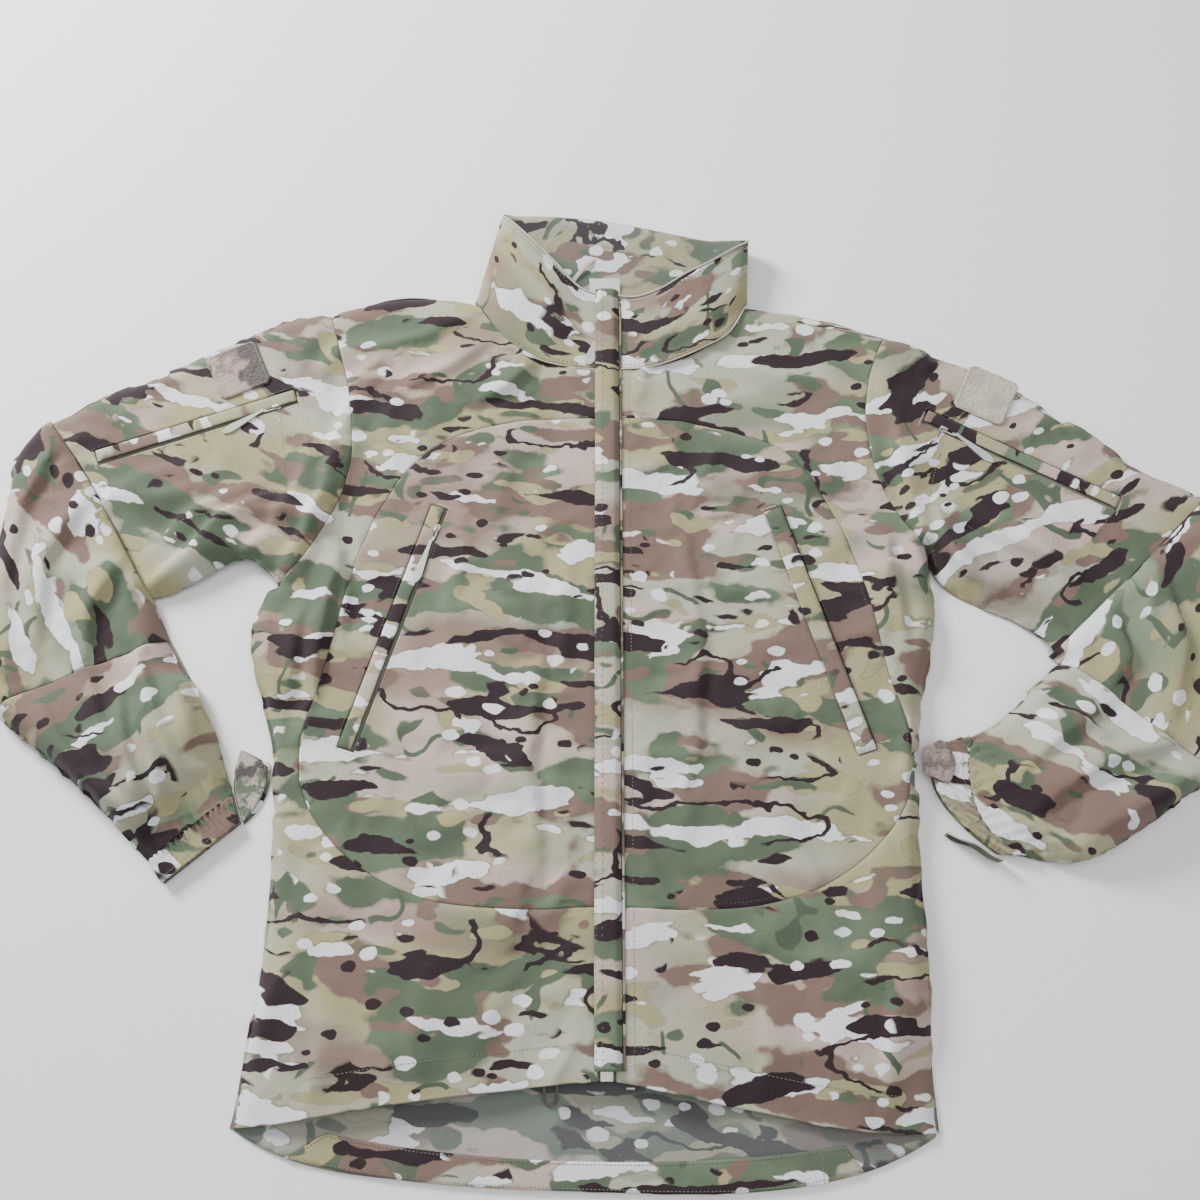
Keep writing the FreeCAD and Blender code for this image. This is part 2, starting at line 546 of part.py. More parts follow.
def make_pockets():
    for side, sign in (("right", -1), ("left", 1)):
        x, y, turn = HAND_ZIP_AT[side]
        bag = smooth_loop([(sign * 120, 60), (sign * 190, 70), (sign * 236, -90), (sign * 232, -200),
                           (sign * 130, -232), (sign * 60, -190), (sign * 70, -40)], [0, 1, 3])
        tucked = side == "left"
        make_pocket_zip(f"{side}_hand_pocket", (x, y), turn, S["hand_zip"], HAND_WINDOW, "body_gap", sign, bag,
                        30.0 if tucked else 20.0, 8.0 if tucked else 0.0, tucked)
        x, y, turn = ARM_ZIP_AT[side]
        bag = ARM_BAG[side]
        make_pocket_zip(f"{side}_arm_pocket", (x, y), turn, S["arm_zip"], ARM_WINDOW, "sleeve_gap", sign, bag,
                        20.0, ARM_TAB_TURN[side], False)


ARM_TAB_TURN = {"right": 14.0, "left": -14.0}
ARM_BAG = {"right": polygon([(-312, 196), (-474, 134), (-455, 92), (-424, 60), (-300, 104)]),
           "left": polygon([(322, 160), (470, 82), (440, 36), (404, 18), (300, 92)])}


# ---- storm flap and hem cord ----------------------------------------------------------------
def make_storm_flap():
    """A strip arched over the slider, from its sewn edge on the left front to its free edge on the right."""
    flap = new_body("storm_flap")
    sewn, top = S["flap_hinge_x"] - 0.6, S["flap_level"] + 0.6
    free = sewn - S["flap_width"] + 0.4
    middle = [(sewn, top - 5), (sewn - 3.4, top - 1), (sewn - 6.4, top), (free + 5.4, top), (free + 2.4, top - 0.8),
              (free, top - 2.7)]
    half = S["cloth"] / 2
    above = [(x + lean, z + half) for (x, z), lean in zip(middle, FLAP_LEAN)]
    below = [(x - lean, z - half) for (x, z), lean in zip(middle, FLAP_LEAN)]
    start = S["zip_top"] + 3
    profile = new_sketch(flap, polygon(above + back(below)), f"{-start}", "XZ_Plane")
    pad(flap, profile, f"{start - S['zip_bottom'] - 8}")
    seam = new_body("storm_flap_seam")
    base = S["body_gap"] + S["cloth"]
    pad(seam, new_sketch(seam, box_runs(S["flap_hinge_x"], S["zip_bottom"] + 8, S["flap_hinge_x"] + 2.4,
                                        S["zip_top"] - 10), f"{base}"), "1.2 * sizes.cloth")


FLAP_LEAN = [0.0, 0.5, 0.2, -0.2, -0.4, -0.3]      # how far the arch's outside leans out at each corner


CORD_ROUTE = [(-40.2, -400, 11.6), (-40.2, -411, 11.2), (-40.2, -420, 6.0), (-40.2, -427.5, 3.4),
              (-45.4, -430.5, 3.2), (-50.6, -427.5, 3.4), (-50.6, -420, 6.0), (-50.6, -411, 11.2),
              (-50.6, -400, 11.6)]


def make_drawcord():
    """The short end loop of the hem's elastic cord, hanging out under the right front hem."""
    points = [Vector(*p) for p in CORD_ROUTE]
    edges, last = [], points[0]
    radii = []
    for before, corner, after in zip(points, points[1:], points[2:]):
        into, out = corner - before, after - corner
        angle = into.getAngle(out)
        reach = 0.45 * min(into.Length, out.Length)
        start = corner - into.normalize() * reach
        end = corner + out.normalize() * reach
        chord = ((start + end) * 0.5 - corner)
        radius = reach / math.tan(angle / 2)
        depth = radius / math.cos(angle / 2) - radius
        middle = corner + chord.normalize() * depth
        radii.append(round(radius, 1))
        edges.append(Part.LineSegment(last, start).toShape())
        edges.append(Part.Arc(start, middle, end).toShape())
        last = end
    edges.append(Part.LineSegment(last, points[-1]).toShape())
    path = Part.Wire(edges)
    circle = Part.Wire(Part.Circle(points[0], points[1] - points[0], S["cord"] / 2).toShape())
    tube = path.makePipeShell([circle], True, True)
    cord = doc.addObject("Part::Feature", "hem_cord_loop")
    cord.Label = "hem_cord_loop"
    cord.Shape = tube
    nodes.append(cord)
    print("cord radii", radii, "length", round(path.Length, 1),
          "volume ratio", round(tube.Volume / (math.pi * S["cord"] ** 2 / 4 * path.Length), 3))


# ---- the whole jacket -------------------------------------------------------------------------
make_torso()
make_collar()
make_neck_trim()
for wearer_side in ("right", "left"):
    make_sleeve(wearer_side)
make_cuff_tabs()
make_front_zip()
front_top = make_slider("front_slider", "front", (0, 283, S["chain_level"]), 0.0)
make_puller("front_puller", "front", (0, 283, S["chain_level"] + front_top + 0.9), -19.0, 0.0, 41.0)
make_pockets()
make_storm_flap()
make_drawcord()
doc.recompute()

for item in doc.Objects:
    assert not {"Invalid", "Error"} & set(item.State), f"{item.Label} failed: {item.State}"

merged = {"zip_top_stop_left": "zip_top_stops", "zip_retainer_pin": "zip_insertion_pin",
          "right_zip_chain": "zip_chain", "left_zip_chain": "zip_chain",
          "right_cuff_elastic": "cuff_elastics", "left_cuff_elastic": "cuff_elastics"}
for suffix in ("hand_pocket", "arm_pocket"):
    for side in ("right", "left"):
        merged[f"{side}_{suffix}_zip_b"] = f"{side}_{suffix}_zip"
shapes = {}
for node in nodes:
    shape = node.Shape
    assert not shape.isNull() and shape.isValid() and shape.Volume > 0, f"{node.Label} is not a valid solid"
    shapes.setdefault(merged.get(node.Label, node.Label), []).append(shape)
os.makedirs("parts", exist_ok=True)
for old in os.listdir("parts"):
    os.remove(os.path.join("parts", old))
for label, solids in shapes.items():
    whole = solids[0] if len(solids) == 1 else Part.makeCompound(solids)
    whole.exportStep(f"parts/{label}.step")
print(len(shapes), "nodes")
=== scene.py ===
"""Builds the looks of a soft-shell field jacket that lies flat on its back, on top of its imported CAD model.

Lengths are metres unless a name ends in _mm. +X is the wearer's left, +Y runs to the collar, +Z is up.
"""

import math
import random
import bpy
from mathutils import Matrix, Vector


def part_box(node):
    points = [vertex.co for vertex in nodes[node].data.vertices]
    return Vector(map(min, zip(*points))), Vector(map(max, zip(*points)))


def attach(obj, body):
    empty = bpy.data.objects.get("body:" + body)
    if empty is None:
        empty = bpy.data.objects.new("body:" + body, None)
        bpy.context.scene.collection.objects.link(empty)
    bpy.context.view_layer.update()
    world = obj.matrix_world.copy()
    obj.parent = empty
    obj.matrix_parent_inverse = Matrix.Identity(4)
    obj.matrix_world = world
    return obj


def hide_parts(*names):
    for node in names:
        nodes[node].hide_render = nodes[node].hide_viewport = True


bl_info = {
    "name": "Field jacket",
    "version": (1, 0, 0),
    "blender": (4, 5, 0),
    "location": "View3D > Sidebar > Jacket",
    "description": "Sews the printed cloth, zips, patches and trims of a flat-lying soft-shell jacket",
    "category": "Add Mesh",
}

import bmesh
import bpy
import numpy as np
from bpy.props import FloatProperty, FloatVectorProperty, IntProperty, PointerProperty
from mathutils import Vector, noise
from mathutils.bvhtree import BVHTree
from mathutils.geometry import delaunay_2d_cdt
from mathutils.kdtree import KDTree

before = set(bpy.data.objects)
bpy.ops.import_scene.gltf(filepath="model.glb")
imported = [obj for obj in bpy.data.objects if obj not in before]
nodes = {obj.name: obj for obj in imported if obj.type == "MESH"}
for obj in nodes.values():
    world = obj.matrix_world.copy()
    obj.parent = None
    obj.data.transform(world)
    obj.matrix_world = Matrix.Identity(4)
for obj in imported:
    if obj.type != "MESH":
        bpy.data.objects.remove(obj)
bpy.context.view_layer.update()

MM = 0.001
SIDES = {"right": -1, "left": 1}
BODY = "jacket"


# ---- sizes and colours a user may change -------------------------------------------------


class JacketCloth(bpy.types.PropertyGroup):
    """The printed cloth and how it lies"""

    thickness: FloatProperty(name="Thickness", description="Thickness of the bonded cloth", default=1.1 * MM,
                             unit="LENGTH")
    mesh_step: FloatProperty(name="Mesh step", description="Distance between the cloth's points", default=4.2 * MM,
                             unit="LENGTH")
    front_height: FloatProperty(name="Front height", description="Top of the front panels above the floor",
                                default=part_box("right_front_inset")[1].z, unit="LENGTH")
    sleeve_height: FloatProperty(name="Sleeve height", description="Top of the upper sleeves above the floor",
                                 default=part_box("right_upper_sleeve")[1].z, unit="LENGTH")
    elbow_height: FloatProperty(name="Elbow height", description="Top of the folded elbows above the floor",
                                default=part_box("right_elbow")[1].z, unit="LENGTH")
    ease: FloatProperty(name="Ease", description="How much longer the cloth is than its place, which makes it buckle",
                        default=0.022)
    settle_cap: FloatProperty(name="Settling cap", description="Most that the simulation may move a point",
                              default=6.0 * MM, unit="LENGTH")
    frames: IntProperty(name="Frames", description="Steps of the cloth simulation", default=24)


class JacketPrint(bpy.types.PropertyGroup):
    """The colours of the print and trims"""

    khaki: FloatVectorProperty(name="Khaki", description="Main ground colour", subtype="COLOR",
                               default=(0.385, 0.350, 0.190))
    sage: FloatVectorProperty(name="Sage", description="Pale green ground", subtype="COLOR",
                              default=(0.46, 0.47, 0.37))
    rose: FloatVectorProperty(name="Rose", description="Pale pink ground", subtype="COLOR",
                              default=(0.56, 0.43, 0.385))
    green: FloatVectorProperty(name="Green", description="Leaf shapes", subtype="COLOR",
                               default=(0.092, 0.132, 0.082))
    brown: FloatVectorProperty(name="Brown", description="Earth shapes", subtype="COLOR",
                               default=(0.200, 0.132, 0.106))
    dark: FloatVectorProperty(name="Dark", description="Twig shapes", subtype="COLOR",
                              default=(0.024, 0.011, 0.016))
    white: FloatVectorProperty(name="White", description="Pebble shapes", subtype="COLOR",
                               default=(0.82, 0.83, 0.86))
    scale: FloatProperty(name="Scale", description="Size of the print's shapes", default=1.0)


# ---- outlines and flat cutting -------------------------------------------------------------


def joined_copy(name):
    """A bmesh of a CAD node with its loose triangles merged."""
    bm = bmesh.new()
    bm.from_mesh(nodes[name].data)
    bmesh.ops.remove_doubles(bm, verts=bm.verts, dist=1e-5)
    bm.normal_update()
    return bm


def top_loops(name):
    """The closed outlines of a panel's flat top, as lists of (x, y)."""
    bm = joined_copy(name)
    top = max(v.co.z for v in bm.verts) - 0.3 * MM
    flat = {f for f in bm.faces if f.normal.z > 0.99 and all(v.co.z > top for v in f.verts)}
    rim = [e for e in bm.edges if sum(f in flat for f in e.link_faces) == 1]
    following = {}
    for edge in rim:
        a, b = edge.verts
        following.setdefault(a.index, []).append(b)
        following.setdefault(b.index, []).append(a)
    places = {v.index: (v.co.x, v.co.y) for e in rim for v in e.verts}
    loops, seen = [], set()
    for start in following:
        if start in seen:
            continue
        loop, here, last = [], start, None
        while here not in seen:
            seen.add(here)
            loop.append(places[here])
            here, last = next((v.index for v in following[here] if v.index != last and v.index not in seen),
                              start), here
        loops.append(np.array(loop))
    bm.free()
    return sorted(loops, key=len, reverse=True)


def even_steps(loop, step, closed=True):
    """The same outline with points a step apart, keeping its corners."""
    points = np.vstack([loop, loop[:1]]) if closed else loop
    runs = np.diff(points, axis=0)
    keep = [0]
    if closed:
        before = np.roll(runs, 1, axis=0)
        turn = np.abs(np.arctan2(before[:, 0] * runs[:, 1] - before[:, 1] * runs[:, 0], (before * runs).sum(1)))
        keep = [i for i in range(len(runs)) if turn[i] > 0.42] or [0]
    corners = keep + [keep[0] + len(runs)] if closed else [0, len(runs)]
    around = np.vstack([points[:-1], points]) if closed else points
    result = []
    for a, b in zip(corners, corners[1:]):
        part = around[a:b + 1]
        along = np.concatenate([[0], np.cumsum(np.hypot(*np.diff(part, axis=0).T))])
        count = max(1, int(round(along[-1] / step)))
        places = np.linspace(0, along[-1], count + 1)[:-1]
        result.append(np.column_stack([np.interp(places, along, part[:, k]) for k in (0, 1)]))
    return np.vstack(result + ([] if closed else [points[-1:]]))


def inside(points, loop):
    """True for each point within a closed outline."""
    x, y = points[:, 0], points[:, 1]
    result = np.zeros(len(points), bool)
    for (x0, y0), (x1, y1) in zip(loop, np.roll(loop, -1, axis=0)):
        if y0 == y1:
            continue
        result ^= ((y0 > y) != (y1 > y)) & (x < (x1 - x0) * (y - y0) / (y1 - y0) + x0)
    return result


def tree_of(points):
    tree = KDTree(len(points))
    for i, p in enumerate(points):
        tree.insert((p[0], p[1], 0.0), i)
    tree.balance()
    return tree


def distance_to(points, tree):
    return np.array([tree.find((p[0], p[1], 0.0))[2] for p in points])


def inset_row(loop, distance):
    """Points a distance inside an outline, one for each of its points."""
    after, before = np.roll(loop, -1, axis=0), np.roll(loop, 1, axis=0)
    along = after - before
    along /= np.maximum(np.hypot(*along.T), 1e-9)[:, None]
    area = (loop[:, 0] * after[:, 1] - after[:, 0] * loop[:, 1]).sum()
    way = 1 if area > 0 else -1
    row = loop + way * distance * np.column_stack([-along[:, 1], along[:, 0]])
    return row


def hex_grid(low, high, step):
    rows = np.arange(low[1], high[1] + step, step * math.sqrt(3) / 2)
    result = []
    for i, y in enumerate(rows):
        xs = np.arange(low[0] + (i % 2) * step / 2, high[0] + step, step)
        result.append(np.column_stack([xs, np.full(len(xs), y)]))
    return np.vstack(result)


def cut_flat(loops, step, rows=(1.3 * MM, 3.4 * MM, 6.2 * MM)):
    """Triangles that fill an outline with its holes, with close rows along its edges."""
    loops = [even_steps(loop, step) for loop in loops]
    outline = np.vstack(loops)
    near = tree_of(outline)
    extra = []
    for number, loop in enumerate(loops):
        for distance in rows:
            row = inset_row(loop, distance if number == 0 else -distance)
            fits = distance_to(row, near) > 0.9 * distance
            extra.append(row[fits])
    low, high = outline.min(0), outline.max(0)
    grid = hex_grid(low, high, step)
    grid = grid[inside(grid, loops[0])]
    for hole in loops[1:]:
        grid = grid[~inside(grid, hole)]
    grid = grid[distance_to(grid, near) > (rows[-1] if rows else 0) + 0.6 * step]
    extra.append(grid)
    points = np.vstack([outline] + extra)
    edges, start = [], 0
    for loop in loops:
        edges += [(start + i, start + (i + 1) % len(loop)) for i in range(len(loop))]
        start += len(loop)
    found = delaunay_2d_cdt([Vector(p) for p in points], edges, [], 0, 1e-7)
    places = np.array([tuple(v) for v in found[0]])
    faces = np.array([f for f in found[2] if len(f) == 3])
    centres = places[faces].mean(1)
    kept = inside(centres, loops[0])
    for hole in loops[1:]:
        kept &= ~inside(centres, hole)
    return places, faces[kept]


# ---- how the cloth lies ----------------------------------------------------------------------

BODY_PANELS = ["right_front_surround", "right_front_inset", "left_front_surround", "left_front_inset",
               "right_upper_sleeve", "left_upper_sleeve"]
ARM_PANELS = {side: [f"{side}_elbow", f"{side}_forearm"] for side in SIDES}

# each fold is a ridge: its line, height and half width, all in millimetres
BODY_FOLDS = [
    ([(-302, 14), (-276, 62), (-262, 110), (-256, 160)], 5.5, 11),
    ([(-335, 34), (-305, 70), (-285, 120), (-278, 170)], 4.5, 12),
    ([(-417, 6), (-382, 39), (-354, 76), (-318, 96), (-282, 96)], 8.0, 12),
    ([(-396, -2), (-366, 18), (-336, 32), (-324, 52)], 5.0, 9),
    ([(-330, 84), (-290, 82), (-250, 70)], 4.0, 9),
    ([(-246, 40), (-254, -24), (-258, -97)], 5.5, 11),
    ([(-276, 0), (-279, -50), (-282, -110)], 4.0, 10),
    ([(-420, 40), (-380, 84), (-330, 112)], 4.0, 12),
    ([(-470, 110), (-420, 96), (-370, 110)], 3.5, 14),
    ([(-505, 170), (-440, 132), (-380, 128)], 3.0, 12),
    ([(300, 50), (284, 90), (276, 140), (282, 190)], 4.5, 12),
    ([(330, 10), (312, 52), (306, 100)], 4.5, 11),
    ([(393, -16), (330, 22), (290, 60), (274, 84)], 7.5, 12),
    ([(318, -10), (292, 24), (274, 50)], 5.0, 9),
    ([(440, 10), (396, 40), (350, 66), (300, 96)], 5.0, 13),
    ([(254, 60), (262, 0), (266, -70)], 4.5, 11),
    ([(430, -10), (400, 40), (372, 76)], 4.5, 13),
    ([(470, 30), (430, 66), (396, 96)], 3.5, 12),
    ([(-300, -50), (-288, -130), (-282, -220)], 3.0, 12),
    ([(280, -60), (268, -140), (262, -230)], 3.0, 12),
    ([(-290, -380), (-262, -320), (-256, -260)], 3.0, 14),
    ([(-240, -432), (-228, -380), (-236, -320)], 3.0, 12),
    ([(-150, -420), (-158, -370), (-150, -330)], 2.2, 13),
    ([(120, -425), (134, -380), (126, -330)], 2.2, 13),
    ([(222, -440), (228, -380), (240, -320)], 3.0, 12),
    ([(-104, 262), (-150, 226), (-196, 204)], 4.0, 10),
    ([(-70, 236), (-96, 206), (-126, 190)], 3.2, 9),
    ([(-120, 290), (-176, 262), (-226, 250)], 3.0, 11),
    ([(96, 250), (150, 226), (206, 214)], 3.4, 10),
    ([(52, 230), (84, 204), (118, 192)], 2.6, 9),
    ([(-60, -60), (-70, -150), (-58, -240)], 1.6, 16),
    ([(70, 60), (84, -40), (76, -140)], 1.6, 16),
    ([(-250, 60), (-236, 0), (-240, -60)], 3.0, 12),
    ([(262, 70), (250, 10), (246, -50)], 3.0, 12),
]
ARM_FOLDS = {
    "right": [
        ([(-512, 160), (-536, 80), (-540, 0), (-520, -90)], 4.0, 12),
        ([(-478, 96), (-508, 30), (-506, -60)], 4.5, 12),
        ([(-440, 36), (-462, -20), (-456, -70)], 4.5, 11),
        ([(-500, -96), (-470, -140), (-420, -196)], 4.5, 11),
        ([(-455, -74), (-436, -130), (-396, -190)], 5.0, 10),
        ([(-414, -50), (-392, -110), (-362, -170)], 5.0, 9),
        ([(-380, -60), (-362, -120), (-344, -166)], 3.5, 8),
        ([(-468, -160), (-430, -178), (-382, -222)], 5.0, 9),
        ([(-404, -110), (-384, -160), (-372, -214)], 6.0, 8),
        ([(-426, -90), (-412, -150), (-392, -208)], 5.0, 8),
    ],
    "left": [
        ([(590, 70), (606, 0), (586, -80)], 4.0, 13),
        ([(548, 70), (560, -10), (540, -100)], 4.5, 13),
        ([(500, 24), (512, -50), (490, -120)], 4.5, 12),
        ([(452, -20), (462, -60), (440, -86)], 4.0, 11),
        ([(536, -160), (470, -188), (410, -214)], 4.5, 11),
        ([(500, -132), (430, -150), (372, -190)], 5.0, 11),
        ([(446, -96), (394, -130), (346, -168)], 5.0, 10),
        ([(404, -76), (366, -106), (336, -140)], 4.0, 9),
        ([(356, -118), (330, -132), (302, -146)], 5.0, 7),
        ([(390, -232), (366, -212), (344, -200)], 6.0, 8),
        ([(346, -128), (399, -113), (441, -129)], 3.5, 9),
    ],
}


def fold_heights(points, folds, strength=1.0):
    """The sum of all ridges at some points."""
    total = np.zeros(len(points))
    for line, height, width in folds:
        line = np.array(line) * MM
        best = np.full(len(points), 1e9)
        where = np.zeros(len(points))
        side = np.zeros(len(points))
        lengths = np.hypot(*np.diff(line, axis=0).T)
        whole, start = lengths.sum(), 0.0
        for (a, b), long in zip(zip(line, line[1:]), lengths):
            t = np.clip(((points - a) @ (b - a)) / long ** 2, 0, 1)
            far = np.hypot(*(points - (a + t[:, None] * (b - a))).T)
            nearer = far < best
            best[nearer] = far[nearer]
            cross = (b[0] - a[0]) * (points[:, 1] - a[1]) - (b[1] - a[1]) * (points[:, 0] - a[0])
            side[nearer] = np.sign(cross[nearer])
            where[nearer] = (start + t * long)[nearer] / whole
            start += long
        taper = np.sin(np.pi * np.clip(where, 0.02, 0.98)) ** 0.6
        reach = np.where(side > 0, 0.5, 1.5) * width * MM
        total += strength * height * MM * np.exp(-(best / reach) ** 2) * taper
    return total


def rolled(distance, radius):
    """The quarter round by which cloth turns down at a fold, from 0 at the edge to 1."""
    t = np.clip(distance / radius, 0, 1)
    return np.sqrt(1 - (1 - t) ** 2)


def smooth(t):
    t = np.clip(t, 0, 1)
    return t * t * (3 - 2 * t)


def closed_edge(names):
    """Points along the bottoms of the walls of some panels, where they turn down to the floor."""
    points = []
    for name in names:
        bm = joined_copy(name)
        for edge in bm.edges:
            a, b = (v.co for v in edge.verts)
            if max(a.z, b.z) < 1.7 * MM:
                count = max(1, int((a - b).length / (2 * MM)))
                points += [tuple(a.lerp(b, i / count))[:2] for i in range(count + 1)]
        bm.free()
    return np.array(points)


def shared_edge(name, others, near_mm=0.9):
    """The points of a panel's outline that lie on the outlines of others."""
    own = even_steps(top_loops(name)[0], 2 * MM)
    rest = tree_of(np.vstack([even_steps(top_loops(o)[0], 0.6 * MM) for o in others]))
    return own[distance_to(own, rest) < near_mm * MM]


def wavy(points, size, seed):
    """Soft unevenness between -1 and 1."""
    return np.array([noise.noise(Vector((p[0] / size, p[1] / size, seed))) for p in points])


class Lay:
    """How a group of joined panels lies: a base height, and what settling adds to it."""

    def __init__(self, names, height):
        self.names = names
        self.height = height
        self.field = None

    def place(self, points):
        """The settled places of flat points."""
        placed = np.column_stack([points, self.height(points)])
        if self.field is not None:
            placed += self.field(points)
        return placed


def settle(lay, calm, cloth, step=9 * MM, ease=None, cap=None):
    """Runs the cloth simulation on a group of joined panels, and keeps what it adds to the base height."""
    loops = [top_loops(name)[0] for name in lay.names]
    everything = np.vstack(loops)
    grid = hex_grid(everything.min(0), everything.max(0), step)
    within = np.zeros(len(grid), bool)
    for loop in loops:
        within |= inside(grid, loop)
    grid = grid[within]
    found = delaunay_2d_cdt([Vector(p) for p in grid], [], [], 0, 1e-7)
    places = np.array([tuple(v) for v in found[0]])
    faces = [f for f in found[2] if max(np.hypot(*(places[f[i]] - places[f[i - 1]])) for i in range(3)) < 1.7 * step]
    base = np.column_stack([places, lay.height(places)])
    mesh = bpy.data.meshes.new("settling")
    mesh.from_pydata(base.tolist(), [], faces)
    obj = bpy.data.objects.new("settling", mesh)
    bpy.context.scene.collection.objects.link(obj)
    held = 1.0 - calm(places)
    group = obj.vertex_groups.new(name="held")
    for i, weight in enumerate(held):
        group.add([i], float(np.clip(weight, 0, 1)), "REPLACE")
    cloth_modifier = obj.modifiers.new("Cloth", "CLOTH")
    settings = cloth_modifier.settings
    settings.quality = 5
    settings.mass = 0.35
    settings.tension_stiffness = 40
    settings.compression_stiffness = 40
    settings.shear_stiffness = 15
    settings.bending_stiffness = 1.2
    settings.tension_damping = 12
    settings.compression_damping = 12
    settings.vertex_group_mass = "held"
    settings.shrink_min = -(cloth.ease if ease is None else ease)
    settings.effector_weights.gravity = 0.0
    cloth_modifier.collision_settings.use_collision = False
    cloth_modifier.collision_settings.use_self_collision = False
    scene = bpy.context.scene
    cloth_modifier.point_cache.frame_start = 1
    cloth_modifier.point_cache.frame_end = cloth.frames
    for number in range(1, cloth.frames + 1):
        scene.frame_set(number)
    settled = obj.evaluated_get(bpy.context.evaluated_depsgraph_get()).data
    moved = np.array([v.co for v in settled.vertices]) - base
    scene.frame_set(1)
    bpy.data.objects.remove(obj)
    longest = np.linalg.norm(moved, axis=1)
    most = cloth.settle_cap if cap is None else cap
    moved *= (most * np.tanh(longest / most) / np.maximum(longest, 1e-9))[:, None]
    moved *= calm(places)[:, None]
    moved[:, 2] = np.where(moved[:, 2] < 0, 1.6 * MM * np.tanh(moved[:, 2] / (2.4 * MM)), moved[:, 2])
    surface = BVHTree.FromPolygons([Vector((p[0], p[1], 0)) for p in places], faces)

    def field(points):
        result = np.zeros((len(points), 3))
        for i, (x, y) in enumerate(points):
            spot, _, index, _ = surface.find_nearest(Vector((x, y, 0)))
            corners = faces[index]
            a, b, c = (places[k] for k in corners)
            whole = (b[0] - a[0]) * (c[1] - a[1]) - (b[1] - a[1]) * (c[0] - a[0])
            v = ((spot.x - a[0]) * (c[1] - a[1]) - (spot.y - a[1]) * (c[0] - a[0])) / whole
            w = ((b[0] - a[0]) * (spot.y - a[1]) - (b[1] - a[1]) * (spot.x - a[0])) / whole
            result[i] = moved[corners[0]] * (1 - v - w) + moved[corners[1]] * v + moved[corners[2]] * w
        return result

    lay.field = field
    print("settled", lay.names[0], len(places), "points, largest move mm", round(float(longest.max() * 1000), 1))


# ---- shader maths ------------------------------------------------------------------------------


class Value:
    """A socket with arithmetic: an expression on it adds its Math nodes."""

    def __init__(self, maker, socket):
        self.maker, self.socket = maker, socket

    def _math(self, operation, *others):
        return self.maker.add("ShaderNodeMath", {"operation": operation}, dict(enumerate((self,) + others)))

    def __add__(self, other):
        return self._math("ADD", other)

    def __sub__(self, other):
        return self._math("SUBTRACT", other)

    def __mul__(self, other):
        return self._math("MULTIPLY", other)

    def __truediv__(self, other):
        return self._math("DIVIDE", other)

    def __rsub__(self, other):
        return self.maker.add("ShaderNodeMath", {"operation": "SUBTRACT"}, {0: other, 1: self})

    __radd__, __rmul__ = __add__, __mul__

    def abs(self):
        return self._math("ABSOLUTE")

    def sine(self):
        return self._math("SINE")

    def ramp(self, start, end, low=0.0, high=1.0):
        """A straight ramp between two values of the socket, level outside them."""
        return self.maker.add("ShaderNodeMapRange", {"clamp": True},
                              {0: self, 1: start, 2: end, 3: low, 4: high})


